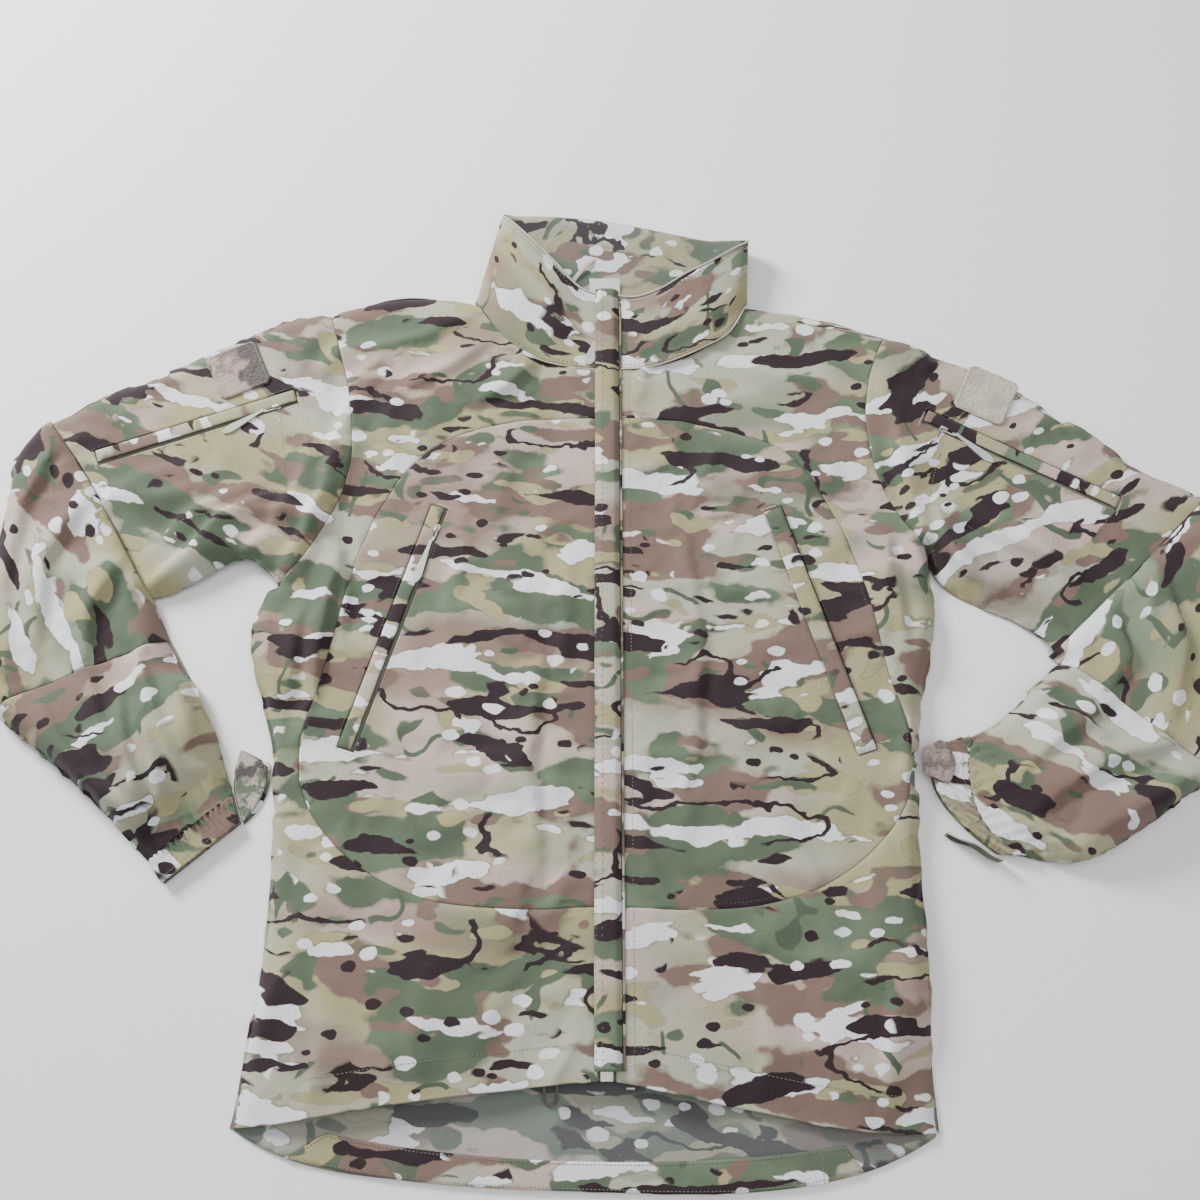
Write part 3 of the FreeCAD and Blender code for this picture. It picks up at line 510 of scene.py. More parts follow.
class Finish:
    """A material under construction."""

    def __init__(self, name, **numbers):
        self.material = bpy.data.materials.new(name)
        self.material.use_nodes = True
        self.tree = self.material.node_tree
        self.shader = self.tree.nodes["Principled BSDF"]
        for socket, number in numbers.items():
            self.shader.inputs[socket.replace("_", " ")].default_value = number

    def add(self, kind, settings=None, inputs=None, output=0):
        """A node of some kind, its settings, and the values or links of its sockets."""
        node = self.tree.nodes.new(kind)
        for name, setting in (settings or {}).items():
            if name == "stops":
                elements = node.color_ramp.elements
                while len(elements) < len(setting):
                    elements.new(0.5)
                for element, (place, colour) in zip(elements, setting):
                    element.position = place
                    element.color = (*colour, 1)
            else:
                setattr(node, name, setting)
        for key, value in (inputs or {}).items():
            if isinstance(value, Value):
                self.tree.links.new(value.socket, node.inputs[key])
            else:
                node.inputs[key].default_value = value
        return Value(self, node.outputs[output])

    def blend(self, factor, first, second):
        """A colour that goes from the first to the second."""
        def full(colour):
            return colour if isinstance(colour, Value) else (*colour, 1)
        return self.add("ShaderNodeMix", {"data_type": "RGBA"}, {0: factor, 6: full(first), 7: full(second)}, 2)

    def noise(self, place, scale, detail=2.0, rough=0.5, warp=0.0, output=0):
        return self.add("ShaderNodeTexNoise", {"noise_dimensions": "3D"},
                        {"Vector": place, "Scale": scale, "Detail": detail, "Roughness": rough,
                         "Distortion": warp}, output)

    def moved(self, place, offset=(0, 0, 0), turn=0.0, scale=(1, 1, 1)):
        return self.add("ShaderNodeMapping", {}, {"Vector": place, "Location": offset,
                                                  "Rotation": (0, 0, turn), "Scale": scale})

    def pushed(self, place, scale, amount, offset=(0, 0, 0)):
        """A place moved about by noise, which makes edges wander."""
        there = self.add("ShaderNodeTexNoise", {}, {"Vector": self.moved(place, offset), "Scale": scale,
                                                     "Detail": 2.0}, 1)
        shift = self.add("ShaderNodeVectorMath", {"operation": "SUBTRACT"}, {0: there, 1: (0.5, 0.5, 0.5)})
        shift = self.add("ShaderNodeVectorMath", {"operation": "SCALE"}, {0: shift, "Scale": amount})
        return self.add("ShaderNodeVectorMath", {"operation": "ADD"}, {0: place, 1: shift})

    def flat(self):
        return self.add("ShaderNodeUVMap", {"uv_map": "flat"})

    def solid(self):
        return self.add("ShaderNodeTexCoord", {}, {}, 3)

    def finish(self, colour=None, rough=None, height=None, depth=0.2 * MM, metal=None, alpha=None):
        for socket, value in (("Base Color", colour), ("Roughness", rough), ("Metallic", metal), ("Alpha", alpha)):
            if isinstance(value, Value):
                self.tree.links.new(value.socket, self.shader.inputs[socket])
            elif value is not None:
                given = (*value, 1) if socket == "Base Color" else value
                self.shader.inputs[socket].default_value = given
        if height is not None:
            bump = self.add("ShaderNodeBump", {}, {"Strength": 1.0, "Distance": depth, "Height": height})
            self.tree.links.new(bump.socket, self.shader.inputs["Normal"])
        return self.material


def weave(finish, place, threads=0.55 * MM):
    """Crossed threads, 0 between them and 1 at their tops."""
    parts = finish.tree.nodes.new("ShaderNodeSeparateXYZ")
    finish.tree.links.new(place.socket, parts.inputs[0])
    x, y = (Value(finish, parts.outputs[k]) for k in (0, 1))
    rate = 2 * math.pi / threads
    return (x * rate).sine().abs() * 0.5 + (y * rate).sine().abs() * 0.5


def print_colour(finish, place, colours, inside=0.0):
    """The leaf, earth, twig and pebble print, on flat cloth in metres."""
    size = 1.0 / colours.scale
    khaki, sage, rose, green, brown, dark, white = (
        tuple(c) for c in (colours.khaki, colours.sage, colours.rose, colours.green, colours.brown, colours.dark,
                           colours.white))

    def shape(offset, scale, stretch, detail=1.6, wander=0.006, turn=0.0):
        """Noise whose high places are the shapes, drawn out along the cloth's width."""
        there = finish.pushed(finish.moved(place, offset, turn), 60.0 * size, wander)
        return finish.noise(finish.moved(there, scale=stretch), scale * size, detail, 0.42)

    def painted(under, mask, start, colour, outline=0.35, edge=0.005):
        """Sharp-edged shapes with a thin darker line round them."""
        rim = mask.ramp(start - 0.016, start - 0.010) * (1 - mask.ramp(start, start + edge))
        lined = finish.blend(rim * outline, under, tuple(0.4 * c for c in khaki))
        return finish.blend(mask.ramp(start - edge, start + edge), lined, colour)

    wide = (0.55, 1.25, 1)
    result = finish.blend(shape((0, 0, 0), 7.0, wide).ramp(0.44, 0.60), khaki, sage)
    result = finish.blend(shape((3.1, 1.7, 0), 8.0, wide).ramp(0.54, 0.63), result, rose)
    result = finish.blend(shape((7.7, 2.3, 0), 11.0, wide).ramp(0.53, 0.66, 0.0, 0.8), result,
                          finish.blend(shape((1.9, 5.3, 0), 4.0, wide).ramp(0.48, 0.52),
                                       tuple(1.7 * c for c in green), tuple(1.35 * c for c in brown)))
    earth = shape((1.3, 4.2, 0), 11.5, (0.62, 1.45, 1), 2.2, 0.012)
    result = painted(result, earth, 0.555, brown)
    leaf = shape((5.9, 0.4, 0), 12.5, (0.66, 1.5, 1), 2.2, 0.012)
    leaf_colour = finish.blend(shape((4.2, 7.1, 0), 14.0, wide).ramp(0.48, 0.62), green, tuple(1.5 * c for c in green))
    result = painted(result, leaf, 0.560, leaf_colour)
    islands = shape((8.8, 1.1, 0), 22.0, (0.7, 1.5, 1), 1.4)
    result = painted(result, islands, 0.635, khaki)
    sprigs = shape((2.7, 6.2, 0), 26.0, (0.7, 1.5, 1), 1.4)
    result = painted(result, sprigs, 0.650, finish.blend(leaf.ramp(0.45, 0.5), green, brown))
    stems = (shape((9.1, 6.3, 0), 15.0, (1.0, 1.0, 1), 1.0, 0.004, 0.9) - 0.5).abs()
    where = shape((4.4, 9.9, 0), 15.0, (1, 1, 1), 1.0).ramp(0.585, 0.600)
    result = finish.blend((1 - stems.ramp(0.016, 0.021)) * where, result, tuple(0.9 * c for c in green))
    stones = shape((2.2, 8.8, 0), 18.0, (0.62, 1.9, 1), 2.6, 0.012)
    result = painted(result, stones, 0.613, white, 0.5, 0.004)
    bark = shape((6.6, 3.5, 0), 17.0, (0.60, 2.1, 1), 1.8, 0.009)
    result = finish.blend(bark.ramp(0.610, 0.618), result, dark)
    twig = (shape((1.1, 2.9, 0), 13.0, (0.7, 1.5, 1), 1.5, 0.014) - 0.5).abs()
    where = shape((5.4, 3.9, 0), 13.0, wide, 1.0).ramp(0.565, 0.580)
    result = finish.blend((1 - twig.ramp(0.013, 0.017)) * where, result, dark)
    for offset, rate, radius, colour in (((0.3, 0.7, 0), 34.0, 0.20, white), ((0.9, 0.2, 0), 30.0, 0.15, dark)):
        drops = finish.add("ShaderNodeTexVoronoi", {"voronoi_dimensions": "2D"},
                           {"Vector": finish.moved(finish.pushed(place, 90.0, 0.004), offset, 0, (0.72, 1.2, 1)),
                            "Scale": rate * size, "Randomness": 0.95})
        drops = drops * shape((2.0, offset[0] * 7, 0), 40.0, (1, 1, 1), 1.0).ramp(0.38, 0.62, 0.75, 1.7)
        some = shape((offset[1] * 9, 4.0, 0), 9.0, (1, 1, 1), 1.0).ramp(0.545, 0.555)
        result = finish.blend((1 - drops.ramp(radius - 0.02, radius)) * some, result, colour)
    if inside:
        pale = finish.blend(inside, result, (0.26, 0.31, 0.32))
        return finish.add("ShaderNodeHueSaturation", {}, {"Saturation": 1 - inside, "Value": 0.92, "Color": pale})
    return result


def cloth_finish(name, colours, inside=0.0):
    finish = Finish(name, Sheen_Weight=0.06, Sheen_Roughness=0.5, Specular_IOR_Level=0.22)
    place = finish.flat()
    colour = print_colour(finish, place, colours, inside)
    threads = weave(finish, place, 1.1 * MM if inside else 0.9 * MM)
    fleck = finish.noise(place, 1500.0, 2.0)
    colour = finish.blend(fleck.ramp(0.25, 0.75, 0.0, 0.14), colour, (0.05, 0.05, 0.045))
    grain = finish.noise(finish.moved(place, (0.4, 0.1, 0)), 520.0, 3.0, 0.7)
    colour = finish.blend(grain.ramp(0.35, 0.75, 0.0, 0.20), colour, (0.06, 0.055, 0.05))
    worn = finish.noise(finish.moved(place, (2.0, 5.0, 0)), 5.0, 3.0).ramp(0.3, 0.7, 0.74, 0.9)
    pucker = finish.noise(place, 75.0, 3.0)
    height = threads * 0.18 + fleck * 0.22 + pucker * 1.6
    return finish.finish(colour, worn, height, 0.55 * MM)


def plain_cloth_finish(name, colour, second, scale=0.7 * MM, depth=0.2 * MM, rough=0.85):
    """Plain woven tape, binding or lining in one colour with soft variation, and painted shade between its threads."""
    finish = Finish(name, Sheen_Weight=0.3, Specular_IOR_Level=0.3)
    place = finish.solid()
    threads = weave(finish, place, scale)
    soft = finish.noise(place, 60.0, 3.0)
    fleck = finish.noise(place, 1800.0, 1.0)
    shade = finish.blend(soft.ramp(0.35, 0.65), colour, second)
    # painted shade: darker between the threads, where the weave's bump is low
    shade = finish.blend(threads.ramp(0.1, 0.5, 0.35, 0.0), shade, tuple(0.45 * c for c in colour))
    return finish.finish(shade, soft.ramp(0.3, 0.7, rough - 0.08, rough + 0.05), threads + fleck * 0.5, depth)


def pile_finish(name, first, second, spots, amount, size=1.0):
    """Brushed loop pile with mottled colours, and painted shade between its fibres."""
    finish = Finish(name, Sheen_Weight=0.6, Sheen_Roughness=0.6, Specular_IOR_Level=0.15)
    place = finish.solid()
    mix = finish.noise(finish.pushed(place, 120.0, 0.012), 46.0 * size, 3.0, 0.6)
    colour = finish.blend(mix.ramp(0.46, 0.54), first, second)
    dark = finish.noise(finish.pushed(finish.moved(place, (1.7, 0.9, 0)), 90.0, 0.01), 34.0 * size, 2.5, 0.5)
    colour = finish.blend(dark.ramp(amount, amount + 0.05), colour, spots)
    fibre = finish.noise(place, 1300.0, 4.0, 0.7)
    # painted shade: darker where the fibres' bump is low, between them
    colour = finish.blend(fibre.ramp(0.35, 0.7, 0.45, 0.0), colour, tuple(0.4 * c for c in first))
    return finish.finish(colour, 0.95, fibre, 0.9 * MM)


def metal_finish(name, colour, rough):
    finish = Finish(name, Metallic=1.0)
    place = finish.solid()
    rub = finish.noise(place, 420.0, 4.0, 0.6)
    cloud = finish.noise(place, 60.0, 2.0)
    shade = finish.blend(cloud.ramp(0.35, 0.65, 0.0, 0.5), colour, tuple(0.55 * c for c in colour))
    return finish.finish(shade, rub.ramp(0.3, 0.7, rough - 0.08, rough + 0.14), rub, 0.05 * MM)


def moulded_finish(name, colour, second, rough=0.55):
    finish = Finish(name, Specular_IOR_Level=0.4)
    place = finish.solid()
    grain = finish.noise(place, 900.0, 3.0, 0.6)
    cloud = finish.noise(place, 50.0, 2.0)
    shade = finish.blend(cloud.ramp(0.4, 0.6), colour, second)
    return finish.finish(shade, grain.ramp(0.3, 0.7, rough - 0.06, rough + 0.1), grain, 0.08 * MM)


def braid_finish(name, colour):
    finish = Finish(name, Sheen_Weight=0.3, Specular_IOR_Level=0.3)
    place = finish.solid()
    threads = weave(finish, place, 0.9 * MM)
    fleck = finish.noise(place, 1400.0, 2.0)
    # painted shade: the cord is darker between its threads, where the braid's bump is low
    shade = finish.blend(threads.ramp(0.1, 0.6), tuple(0.35 * c for c in colour), colour)
    return finish.finish(shade, 0.8, threads + fleck * 0.4, 0.25 * MM)


finishes = {}


def make_finishes(colours):
    finishes.update({
        "outside": cloth_finish("print_cloth_outside", colours),
        "inside": cloth_finish("print_cloth_inside", colours, inside=0.30),
        "binding": plain_cloth_finish("cream_binding", (0.62, 0.58, 0.47), (0.52, 0.49, 0.40), 0.6 * MM, 0.15 * MM),
        "tape": plain_cloth_finish("zip_tape_weave", (0.20, 0.20, 0.15), (0.16, 0.17, 0.13)),
        "neck": cloth_finish("print_cloth_neck", colours, inside=0.08),
        "bag": plain_cloth_finish("pocket_bag_tricot", (0.30, 0.30, 0.24), (0.25, 0.26, 0.21)),
        "label": plain_cloth_finish("blank_label_satin", (0.80, 0.80, 0.77), (0.72, 0.72, 0.70), 0.35 * MM,
                                    0.08 * MM, 0.5),
        "elastic": plain_cloth_finish("ribbed_elastic", (0.13, 0.10, 0.08), (0.10, 0.08, 0.07), 1.0 * MM, 0.3 * MM),
        "thread": plain_cloth_finish("sewing_thread", (0.20, 0.19, 0.14), (0.15, 0.145, 0.105), 0.4 * MM, 0.05 * MM,
                                     0.6),
        "pale_thread": plain_cloth_finish("pale_thread", (0.60, 0.58, 0.48), (0.55, 0.52, 0.44), 0.4 * MM,
                                          0.05 * MM, 0.6),
        "dark_thread": plain_cloth_finish("dark_thread", (0.10, 0.095, 0.075), (0.08, 0.08, 0.06), 0.4 * MM,
                                          0.05 * MM, 0.6),
        "right_pile": pile_finish("right_loop_pile", (0.50, 0.36, 0.31), (0.25, 0.155, 0.12), (0.020, 0.010, 0.010),
                                  0.52),
        "left_pile": pile_finish("left_loop_pile", (0.62, 0.56, 0.44), (0.50, 0.44, 0.33), (0.04, 0.025, 0.022),
                                 0.64),
        "cuff_pile": pile_finish("cuff_loop_pile", (0.11, 0.15, 0.085), (0.56, 0.47, 0.43), (0.05, 0.026, 0.026),
                                 0.53, 1.4),
        "left_cuff_pile": pile_finish("left_cuff_loop_pile", (0.36, 0.27, 0.24), (0.25, 0.18, 0.15),
                                      (0.13, 0.085, 0.075), 0.56, 1.8),
        "metal": metal_finish("zip_nickel", (0.62, 0.61, 0.58), 0.34),
        "coil": moulded_finish("zip_coil_nylon", (0.20, 0.20, 0.15), (0.15, 0.155, 0.12), 0.42),
        "puller": moulded_finish("moulded_rubber", (0.47, 0.48, 0.44), (0.41, 0.42, 0.385), 0.5),
        "light_puller": moulded_finish("light_moulded_rubber", (0.56, 0.57, 0.53), (0.50, 0.51, 0.48), 0.6),
        "cord": braid_finish("braided_cord", (0.12, 0.10, 0.075)),
    })


def finish_with(piece, *names):
    piece.data.materials.clear()
    for name in names:
        piece.data.materials.append(finishes[name])


# ---- making pieces -----------------------------------------------------------------------------


def only(piece):
    """Leaves one object selected and active."""
    for other in bpy.context.selected_objects:
        other.select_set(False)
    piece.select_set(True)
    bpy.context.view_layer.objects.active = piece


def soft_mesh(name, points, faces, flat=None):
    """A cloth mesh; flat gives each point its place on the uncut cloth."""
    mesh = bpy.data.meshes.new(name)
    mesh.from_pydata([tuple(p) for p in points], [], [tuple(int(i) for i in f) for f in faces])
    piece = bpy.data.objects.new(name, mesh)
    bpy.context.scene.collection.objects.link(piece)
    if flat is not None:
        layer = mesh.uv_layers.new(name="flat")
        corners = np.empty(len(mesh.loops), int)
        mesh.loops.foreach_get("vertex_index", corners)
        layer.data.foreach_set("uv", np.asarray(flat, float)[corners].ravel())
    mesh.shade_smooth()
    return piece


def apply_all(piece):
    only(piece)
    for modifier in list(piece.modifiers):
        bpy.ops.object.modifier_apply(modifier=modifier.name)


def give_thickness(piece, thickness, lining=1):
    solid = piece.modifiers.new("Thickness", "SOLIDIFY")
    solid.thickness = thickness
    solid.offset = -1
    solid.material_offset = lining
    solid.use_quality_normals = True
    apply_all(piece)
    for v in piece.data.vertices:
        v.co.z = max(v.co.z, 0.05 * MM)


def wear(piece, body=BODY, instead_of=()):
    """Puts a finished piece on its body and hides the parts it replaces."""
    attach(piece, body)
    if instead_of:
        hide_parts(*instead_of)
    return piece


def area_of(points, faces):
    a, b, c = (points[faces[:, k]] for k in range(3))
    return float(np.linalg.norm(np.cross(b - a, c - a), axis=1).sum() / 2)


def turned_flat(points, turn, offset):
    cos, sin = math.cos(turn), math.sin(turn)
    return np.column_stack([points[:, 0] * cos - points[:, 1] * sin + offset[0],
                            points[:, 0] * sin + points[:, 1] * cos + offset[1]])


def declare_sheet(points, faces, flat):
    """Works out a panel's settled area and the flat size it was cut to, grown to match; the results are not kept."""
    area = area_of(points, faces)
    wide, long = (flat.max(0) - flat.min(0))
    grow = math.sqrt(max(1.0, area / (0.99 * wide * long)))
    wide * grow
    long * grow
    min(area, wide * long * grow * grow)


STITCH = [(-0.5, 0, 0), (0, -0.5, 0), (0, 0, 0.5), (0, 0.5, 0), (0, 0, -0.5), (0.5, 0, 0)]
STITCH_FACES = [(0, 1, 2), (0, 2, 3), (0, 3, 4), (0, 4, 1), (5, 2, 1), (5, 3, 2), (5, 4, 3), (5, 1, 4)]


class Seamwork:
    """Collects single stitches and makes them one piece."""

    def __init__(self):
        self.points, self.faces = [], []

    def stitch(self, centre, along, long=2.6 * MM, wide=0.8 * MM, high=0.6 * MM):
        along = Vector(along).normalized()
        across = Vector((-along.y, along.x, 0)).normalized()
        up = along.cross(across)
        start = len(self.points)
        for a, b, c in STITCH:
            self.points.append(tuple(Vector(centre) + along * a * long + across * b * wide + up * c * high))
        self.faces += [tuple(start + i for i in f) for f in STITCH_FACES]

    def row(self, line, surface, lift=0.12 * MM, gap=0.8, **size):
        """Stitches along flat points a stitch apart, lying on a surface."""
        if len(line) < 2:
            return
        placed = surface(np.asarray(line))
        for a, b in zip(placed, placed[1:]):
            a, b = Vector(a), Vector(b)
            long = (b - a).length
            if 0.4 * MM < long < 6 * MM:
                self.stitch((a + b) / 2 + Vector((0, 0, lift)), b - a, long * gap, **size)

    def bar(self, centre, turn, long, surface, pitch=0.75 * MM, wide=2.4 * MM):
        """A bar-tack: close stitches across a short line."""
        way = np.array([math.cos(turn), math.sin(turn)])
        across = np.array([-way[1], way[0]])
        count = max(3, int(long / pitch))
        for i in range(count):
            middle_point = np.array(centre) + way * (i - (count - 1) / 2) * pitch
            spot = surface(middle_point[None])[0]
            self.stitch(Vector(spot) - Vector((0, 0, 0.05 * MM)), (*across, 0), wide, 0.7 * MM, 0.36 * MM)

    def make(self, name, finish, slot="print_cloth", body=BODY):
        piece = soft_mesh(name, self.points, self.faces)
        finish_with(piece, finish)
        return wear(piece, body)


class Stage:
    """What the operators share: the settled lays and the stitching."""
    front = None
    arms = {}


def cloth_of(scene):
    return scene.jacket_cloth


def build_front_lay(cloth):
    rim = tree_of(closed_edge(BODY_PANELS))
    hem = np.vstack([even_steps(top_loops(f"{s}_front_surround")[0], 3 * MM) for s in SIDES])
    low = {s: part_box(f"{s}_front_surround")[0].y for s in SIDES}
    hem = tree_of(hem[(hem[:, 1] < max(low.values()) + 32 * MM) & (np.abs(hem[:, 0]) > 0.012)])
    radius = 17 * MM
    rim_height = 0.9 * MM
    fold_strength = 1.6
    hem_drop = 6.5 * MM
    puller_reach = np.arange(0, 0.066, 0.004)
    window_run = np.arange(-0.09, 0.09, 0.004)

    def height(points):
        sleeve = smooth((np.abs(points[:, 0]) - 0.268) / 0.05)
        base = cloth.front_height + (cloth.sleeve_height - cloth.front_height) * sleeve
        edge = distance_to(points, rim)
        drop = 1 - smooth(distance_to(points, hem) / 0.055)
        drop *= smooth((np.abs(points[:, 0]) - 0.035) / 0.08)
        calm = calmness(points)
        rough = (wavy(points, 0.085, 1.0) * 1.5 + wavy(points, 0.035, 4.0) * 0.8) * MM
        folds = fold_heights(points, BODY_FOLDS, fold_strength)
        base = base + (rough + folds) * calm - hem_drop * drop
        return rim_height + (base - rim_height) * rolled(edge, radius)

    hardware = []
    for side in SIDES:
        for what in ("hand_pocket_zip", "arm_pocket_zip", "arm_patch"):
            hardware.append(top_loops(f"{side}_{what}")[0])
    hardware = tree_of(np.vstack([even_steps(loop, 4 * MM) for loop in hardware]
                                 + [np.array([(0.0, y) for y in np.arange(-0.41, 0.315, 0.004)])]))
    inner = [top_loops(f"{side}_arm_patch")[0] for side in SIDES]
    # the cloth stays calm where the pullers pass, beyond each window and beside it
    paths = tree_of(np.array([pocket.world(pocket.across + swing * reach, -pocket.length / 2 - reach)
                              for (_, kind), pocket in POCKETS.items() for reach in puller_reach
                              for swing in ((0.0, -0.3 * SIDES[pocket.side]) if kind == "arm" else (0.0,))]
                             + [pocket.world(pocket.across - SIDES[pocket.side] * 8 * MM, along)
                                for pocket in POCKETS.values() for along in window_run]))

    def calmness(points):
        near = smooth((distance_to(points, hardware) - 13 * MM) / (26 * MM))
        near = np.minimum(near, smooth((distance_to(points, paths) - 9 * MM) / (20 * MM)))
        for loop in inner:
            near[inside(points, loop)] = 0
        return near

    lay = Lay(BODY_PANELS, height)
    return lay, calmness, rim


def build_arm_lay(side, cloth):
    names = ARM_PANELS[side]
    rim = tree_of(closed_edge(names))
    fold = tree_of(shared_edge(f"{side}_elbow", [f"{side}_upper_sleeve"], 1.2))
    wrist = tree_of(shared_edge(f"{side}_forearm", [f"{side}_cuff_band"], 4.0))
    wrist_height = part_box(f"{side}_cuff_band")[1].z
    wrist_points = shared_edge(f"{side}_forearm", [f"{side}_cuff_band"], 4.0)
    spread = wrist_points - wrist_points.mean(0)
    across = np.linalg.svd(spread, full_matrices=False)[2][0]

    def height(points):
        edge, crease = distance_to(points, rim), distance_to(points, fold)
        to_wrist = smooth(distance_to(points, wrist) / 0.075)
        rough = (wavy(points, 0.075, 2.0 + SIDES[side]) * 1.6 + wavy(points, 0.033, 6.0) * 0.9) * MM
        base = wrist_height + (cloth.elbow_height - 1.5 * MM - wrist_height) * to_wrist
        base = base + (rough + fold_heights(points, ARM_FOLDS[side], 1.7)) * (0.25 + 0.75 * to_wrist)
        place = (points - wrist_points.mean(0)) @ across
        gather = np.sin(place / (9.5 * MM) * 2 * math.pi + 2.2 * wavy(points, 0.03, 9.0))
        base = base + 1.9 * MM * gather * np.exp(-(distance_to(points, wrist) / 0.026) ** 1.5)
        upper = cloth.sleeve_height + 0.6 * MM
        base = upper + (base - upper) * rolled(crease, 13 * MM)
        return 0.9 * MM + (base - 0.9 * MM) * rolled(edge, 17 * MM)

    def calmness(points):
        return smooth(distance_to(points, wrist) / 0.04) * smooth(distance_to(points, fold) / 0.02)

    return Lay(names, height), calmness, rim


def seam_tree(names, extra=()):
    """Where panels join each other, as points along their outlines."""
    found = []
    for name in names:
        others = [other for other in list(names) + list(extra) if other != name]
        found.append(shared_edge(name, others))
    return tree_of(np.vstack(found))


GROOVE_DEEP, GROOVE_WIDE = 1.3 * MM, 1.4 * MM
STITCH_DIP, STITCH_FROM_SEAM, STITCH_DIP_WIDE = 0.45 * MM, 4.2 * MM, 1.1 * MM
PUCKER_HIGH, PUCKER_REACH = 0.45 * MM, 9 * MM
LOWEST_TOP = 0.5 * MM
FREE_HEIGHT, HEIGHT_SPARE = 32 * MM, 6 * MM     # folds above the first are eased into the second


def surface_of(lay, seams):
    """The settled surface with its seam grooves, at flat points."""
    def surface(points):
        placed = lay.place(points)
        far = distance_to(points, seams)
        ripple = wavy(points, 0.009, 3.0) * PUCKER_HIGH * np.exp(-(far / PUCKER_REACH) ** 2)
        placed[:, 2] += (-GROOVE_DEEP * np.exp(-(far / GROOVE_WIDE) ** 2)
                         - STITCH_DIP * np.exp(-((far - STITCH_FROM_SEAM) / STITCH_DIP_WIDE) ** 2) + ripple)
        placed[:, 2] = np.maximum(placed[:, 2], LOWEST_TOP)
        above = np.maximum(placed[:, 2] - FREE_HEIGHT, 0)
        placed[:, 2] -= above - HEIGHT_SPARE * np.tanh(above / HEIGHT_SPARE)
        return placed
    return surface


PATTERN = {"right_front_surround": (0.0, (0, 0)), "right_front_inset": (0.06, (0.31, 0.12)),
           "left_front_surround": (-0.05, (0.9, 0.4)), "left_front_inset": (0.03, (1.37, 0.75)),
           "right_upper_sleeve": (0.42, (2.1, 0.2)), "left_upper_sleeve": (-0.48, (2.7, 0.9)),
           "right_elbow": (1.15, (3.3, 0.5)), "left_elbow": (-1.0, (3.9, 0.1)),
           "right_forearm": (-0.6, (4.4, 0.8)), "left_forearm": (0.5, (5.0, 0.3))}


def sew_panel(name, surface, cloth):
    """One printed panel on its settled surface."""
    points, faces = cut_flat(top_loops(name), cloth.mesh_step)
    placed = surface(points)
    turn, offset = PATTERN[name]
    piece = soft_mesh(f"{name}_cloth", placed, faces, turned_flat(points, turn, offset))
    finish_with(piece, "outside", "inside")
    give_thickness(piece, cloth.thickness)
    declare_sheet(placed, faces, points)
    return wear(piece, instead_of=[name])


def row_beside(loop, distance, seams, pitch=3.3 * MM, near=0.4 * MM):
    """Runs of points beside the sewn parts of an outline."""
    line = inset_row(even_steps(loop, pitch), distance)
    far = distance_to(line, seams)
    fits = np.abs(far - abs(distance)) < near
    runs, run = [], []
    for i in list(range(len(line))) + [0]:
        if fits[i]:
            run.append(line[i])
        elif run:
            runs.append(np.array(run))
            run = []
    if run:
        runs.append(np.array(run))
    return runs


class JACKET_OT_lay_cloth(bpy.types.Operator):
    """Works out how the panels lie, and settles them by cloth simulation"""
    bl_idname = "jacket.lay_cloth"
    bl_label = "Lay the cloth"

    def execute(self, context):
        cloth = cloth_of(context.scene)
        Stage.front, calm, _ = build_front_lay(cloth)
        lays = [(Stage.front, calm, cloth.ease, cloth.settle_cap)]
        for side in SIDES:
            Stage.arms[side], calm, _ = build_arm_lay(side, cloth)
            lays.append((Stage.arms[side], calm, 1.6 * cloth.ease, cloth.settle_cap))
        for lay, calm, ease, cap in lays:
            settle(lay, calm, cloth, ease=ease, cap=cap)
        return {"FINISHED"}


